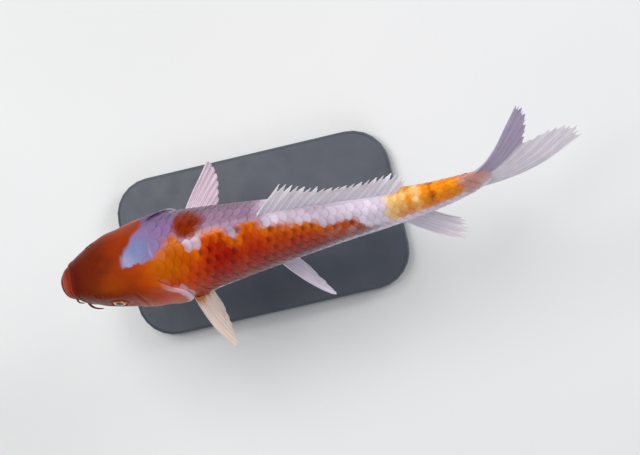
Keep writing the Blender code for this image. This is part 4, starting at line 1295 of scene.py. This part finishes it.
FLOOR_SIZE = 6.0
CAMERA_AT = Vector((-0.0036, 0.1683, 1.304))
FISH_MIDDLE = Vector((0.0035, 0.0412, AXIS_HEIGHT))
PICTURE_RIGHT = Vector((0.2251, 0.9743, 0.0))
LENS, SENSOR = 137.0, 36.0  # millimetres
FLOOR_SHADES = (0.76, 0.77, 0.78, 1.0), (0.79, 0.80, 0.81, 1.0)
# Place, size, watts and colour
SOFT_BOXES = {
    "key_box": ((-0.55, -0.45, 1.45), 0.90, 19.0, (1.0, 0.985, 0.96)),
    "side_box": ((1.30, 0.35, 0.75), 0.80, 3.4, (0.96, 0.98, 1.0)),
    "tail_box": ((-0.60, 1.30, 0.80), 0.60, 9.2, (1.0, 1.0, 1.0)),
}
ROOM_LIGHT, ROOM_STRENGTH = (0.95, 0.97, 1.0, 1.0), 0.26


def pale_floor():
    """Matt painted board, very slightly uneven."""
    material, tree, shader = finish("pale_floor", {"Roughness": 0.75})
    cloudy = ranged(tree, noise(tree, 3.0, 4.0), 0.0, 1.0)
    tree.links.new(blend(tree, cloudy, *FLOOR_SHADES), shader.inputs["Base Color"])
    return material


def soft_lamp(name, at, size, watts, colour):
    """A square soft box that faces the model."""
    lamp = bpy.data.lights.new(name, "AREA")
    lamp.energy, lamp.size, lamp.color = watts, size, colour
    made = bpy.data.objects.new(name, lamp)
    made.location = at
    made.rotation_euler = (FISH_MIDDLE - Vector(at)).to_track_quat("-Z", "Y").to_euler()
    bpy.context.scene.collection.objects.link(made)


bm = bmesh.new()
bmesh.ops.create_grid(bm, x_segments=1, y_segments=1, size=FLOOR_SIZE / 2)
floor_mesh = mesh_from(bm, "floor")
floor_mesh.materials.append(pale_floor())
floor = bpy.data.objects.new("floor", floor_mesh)
bpy.context.scene.collection.objects.link(floor)

for name, lamp in SOFT_BOXES.items():
    soft_lamp(name, *lamp)
room = bpy.data.worlds.new("room")
room.use_nodes = True
background = room.node_tree.nodes["Background"]
background.inputs["Color"].default_value = ROOM_LIGHT
background.inputs["Strength"].default_value = ROOM_STRENGTH
bpy.context.scene.world = room
bpy.context.scene.view_settings.view_transform = "Standard"

camera = bpy.data.cameras.new("camera")
camera.lens, camera.sensor_width, camera.clip_start = LENS, SENSOR, 0.01
viewer = bpy.data.objects.new("camera", camera)
bpy.context.scene.collection.objects.link(viewer)
backward = (CAMERA_AT - FISH_MIDDLE).normalized()
rightward = (PICTURE_RIGHT - backward * PICTURE_RIGHT.dot(backward)).normalized()
turned = Matrix((rightward, backward.cross(rightward), backward)).transposed()
viewer.matrix_world = Matrix.Translation(CAMERA_AT) @ turned.to_4x4()
bpy.context.scene.camera = viewer
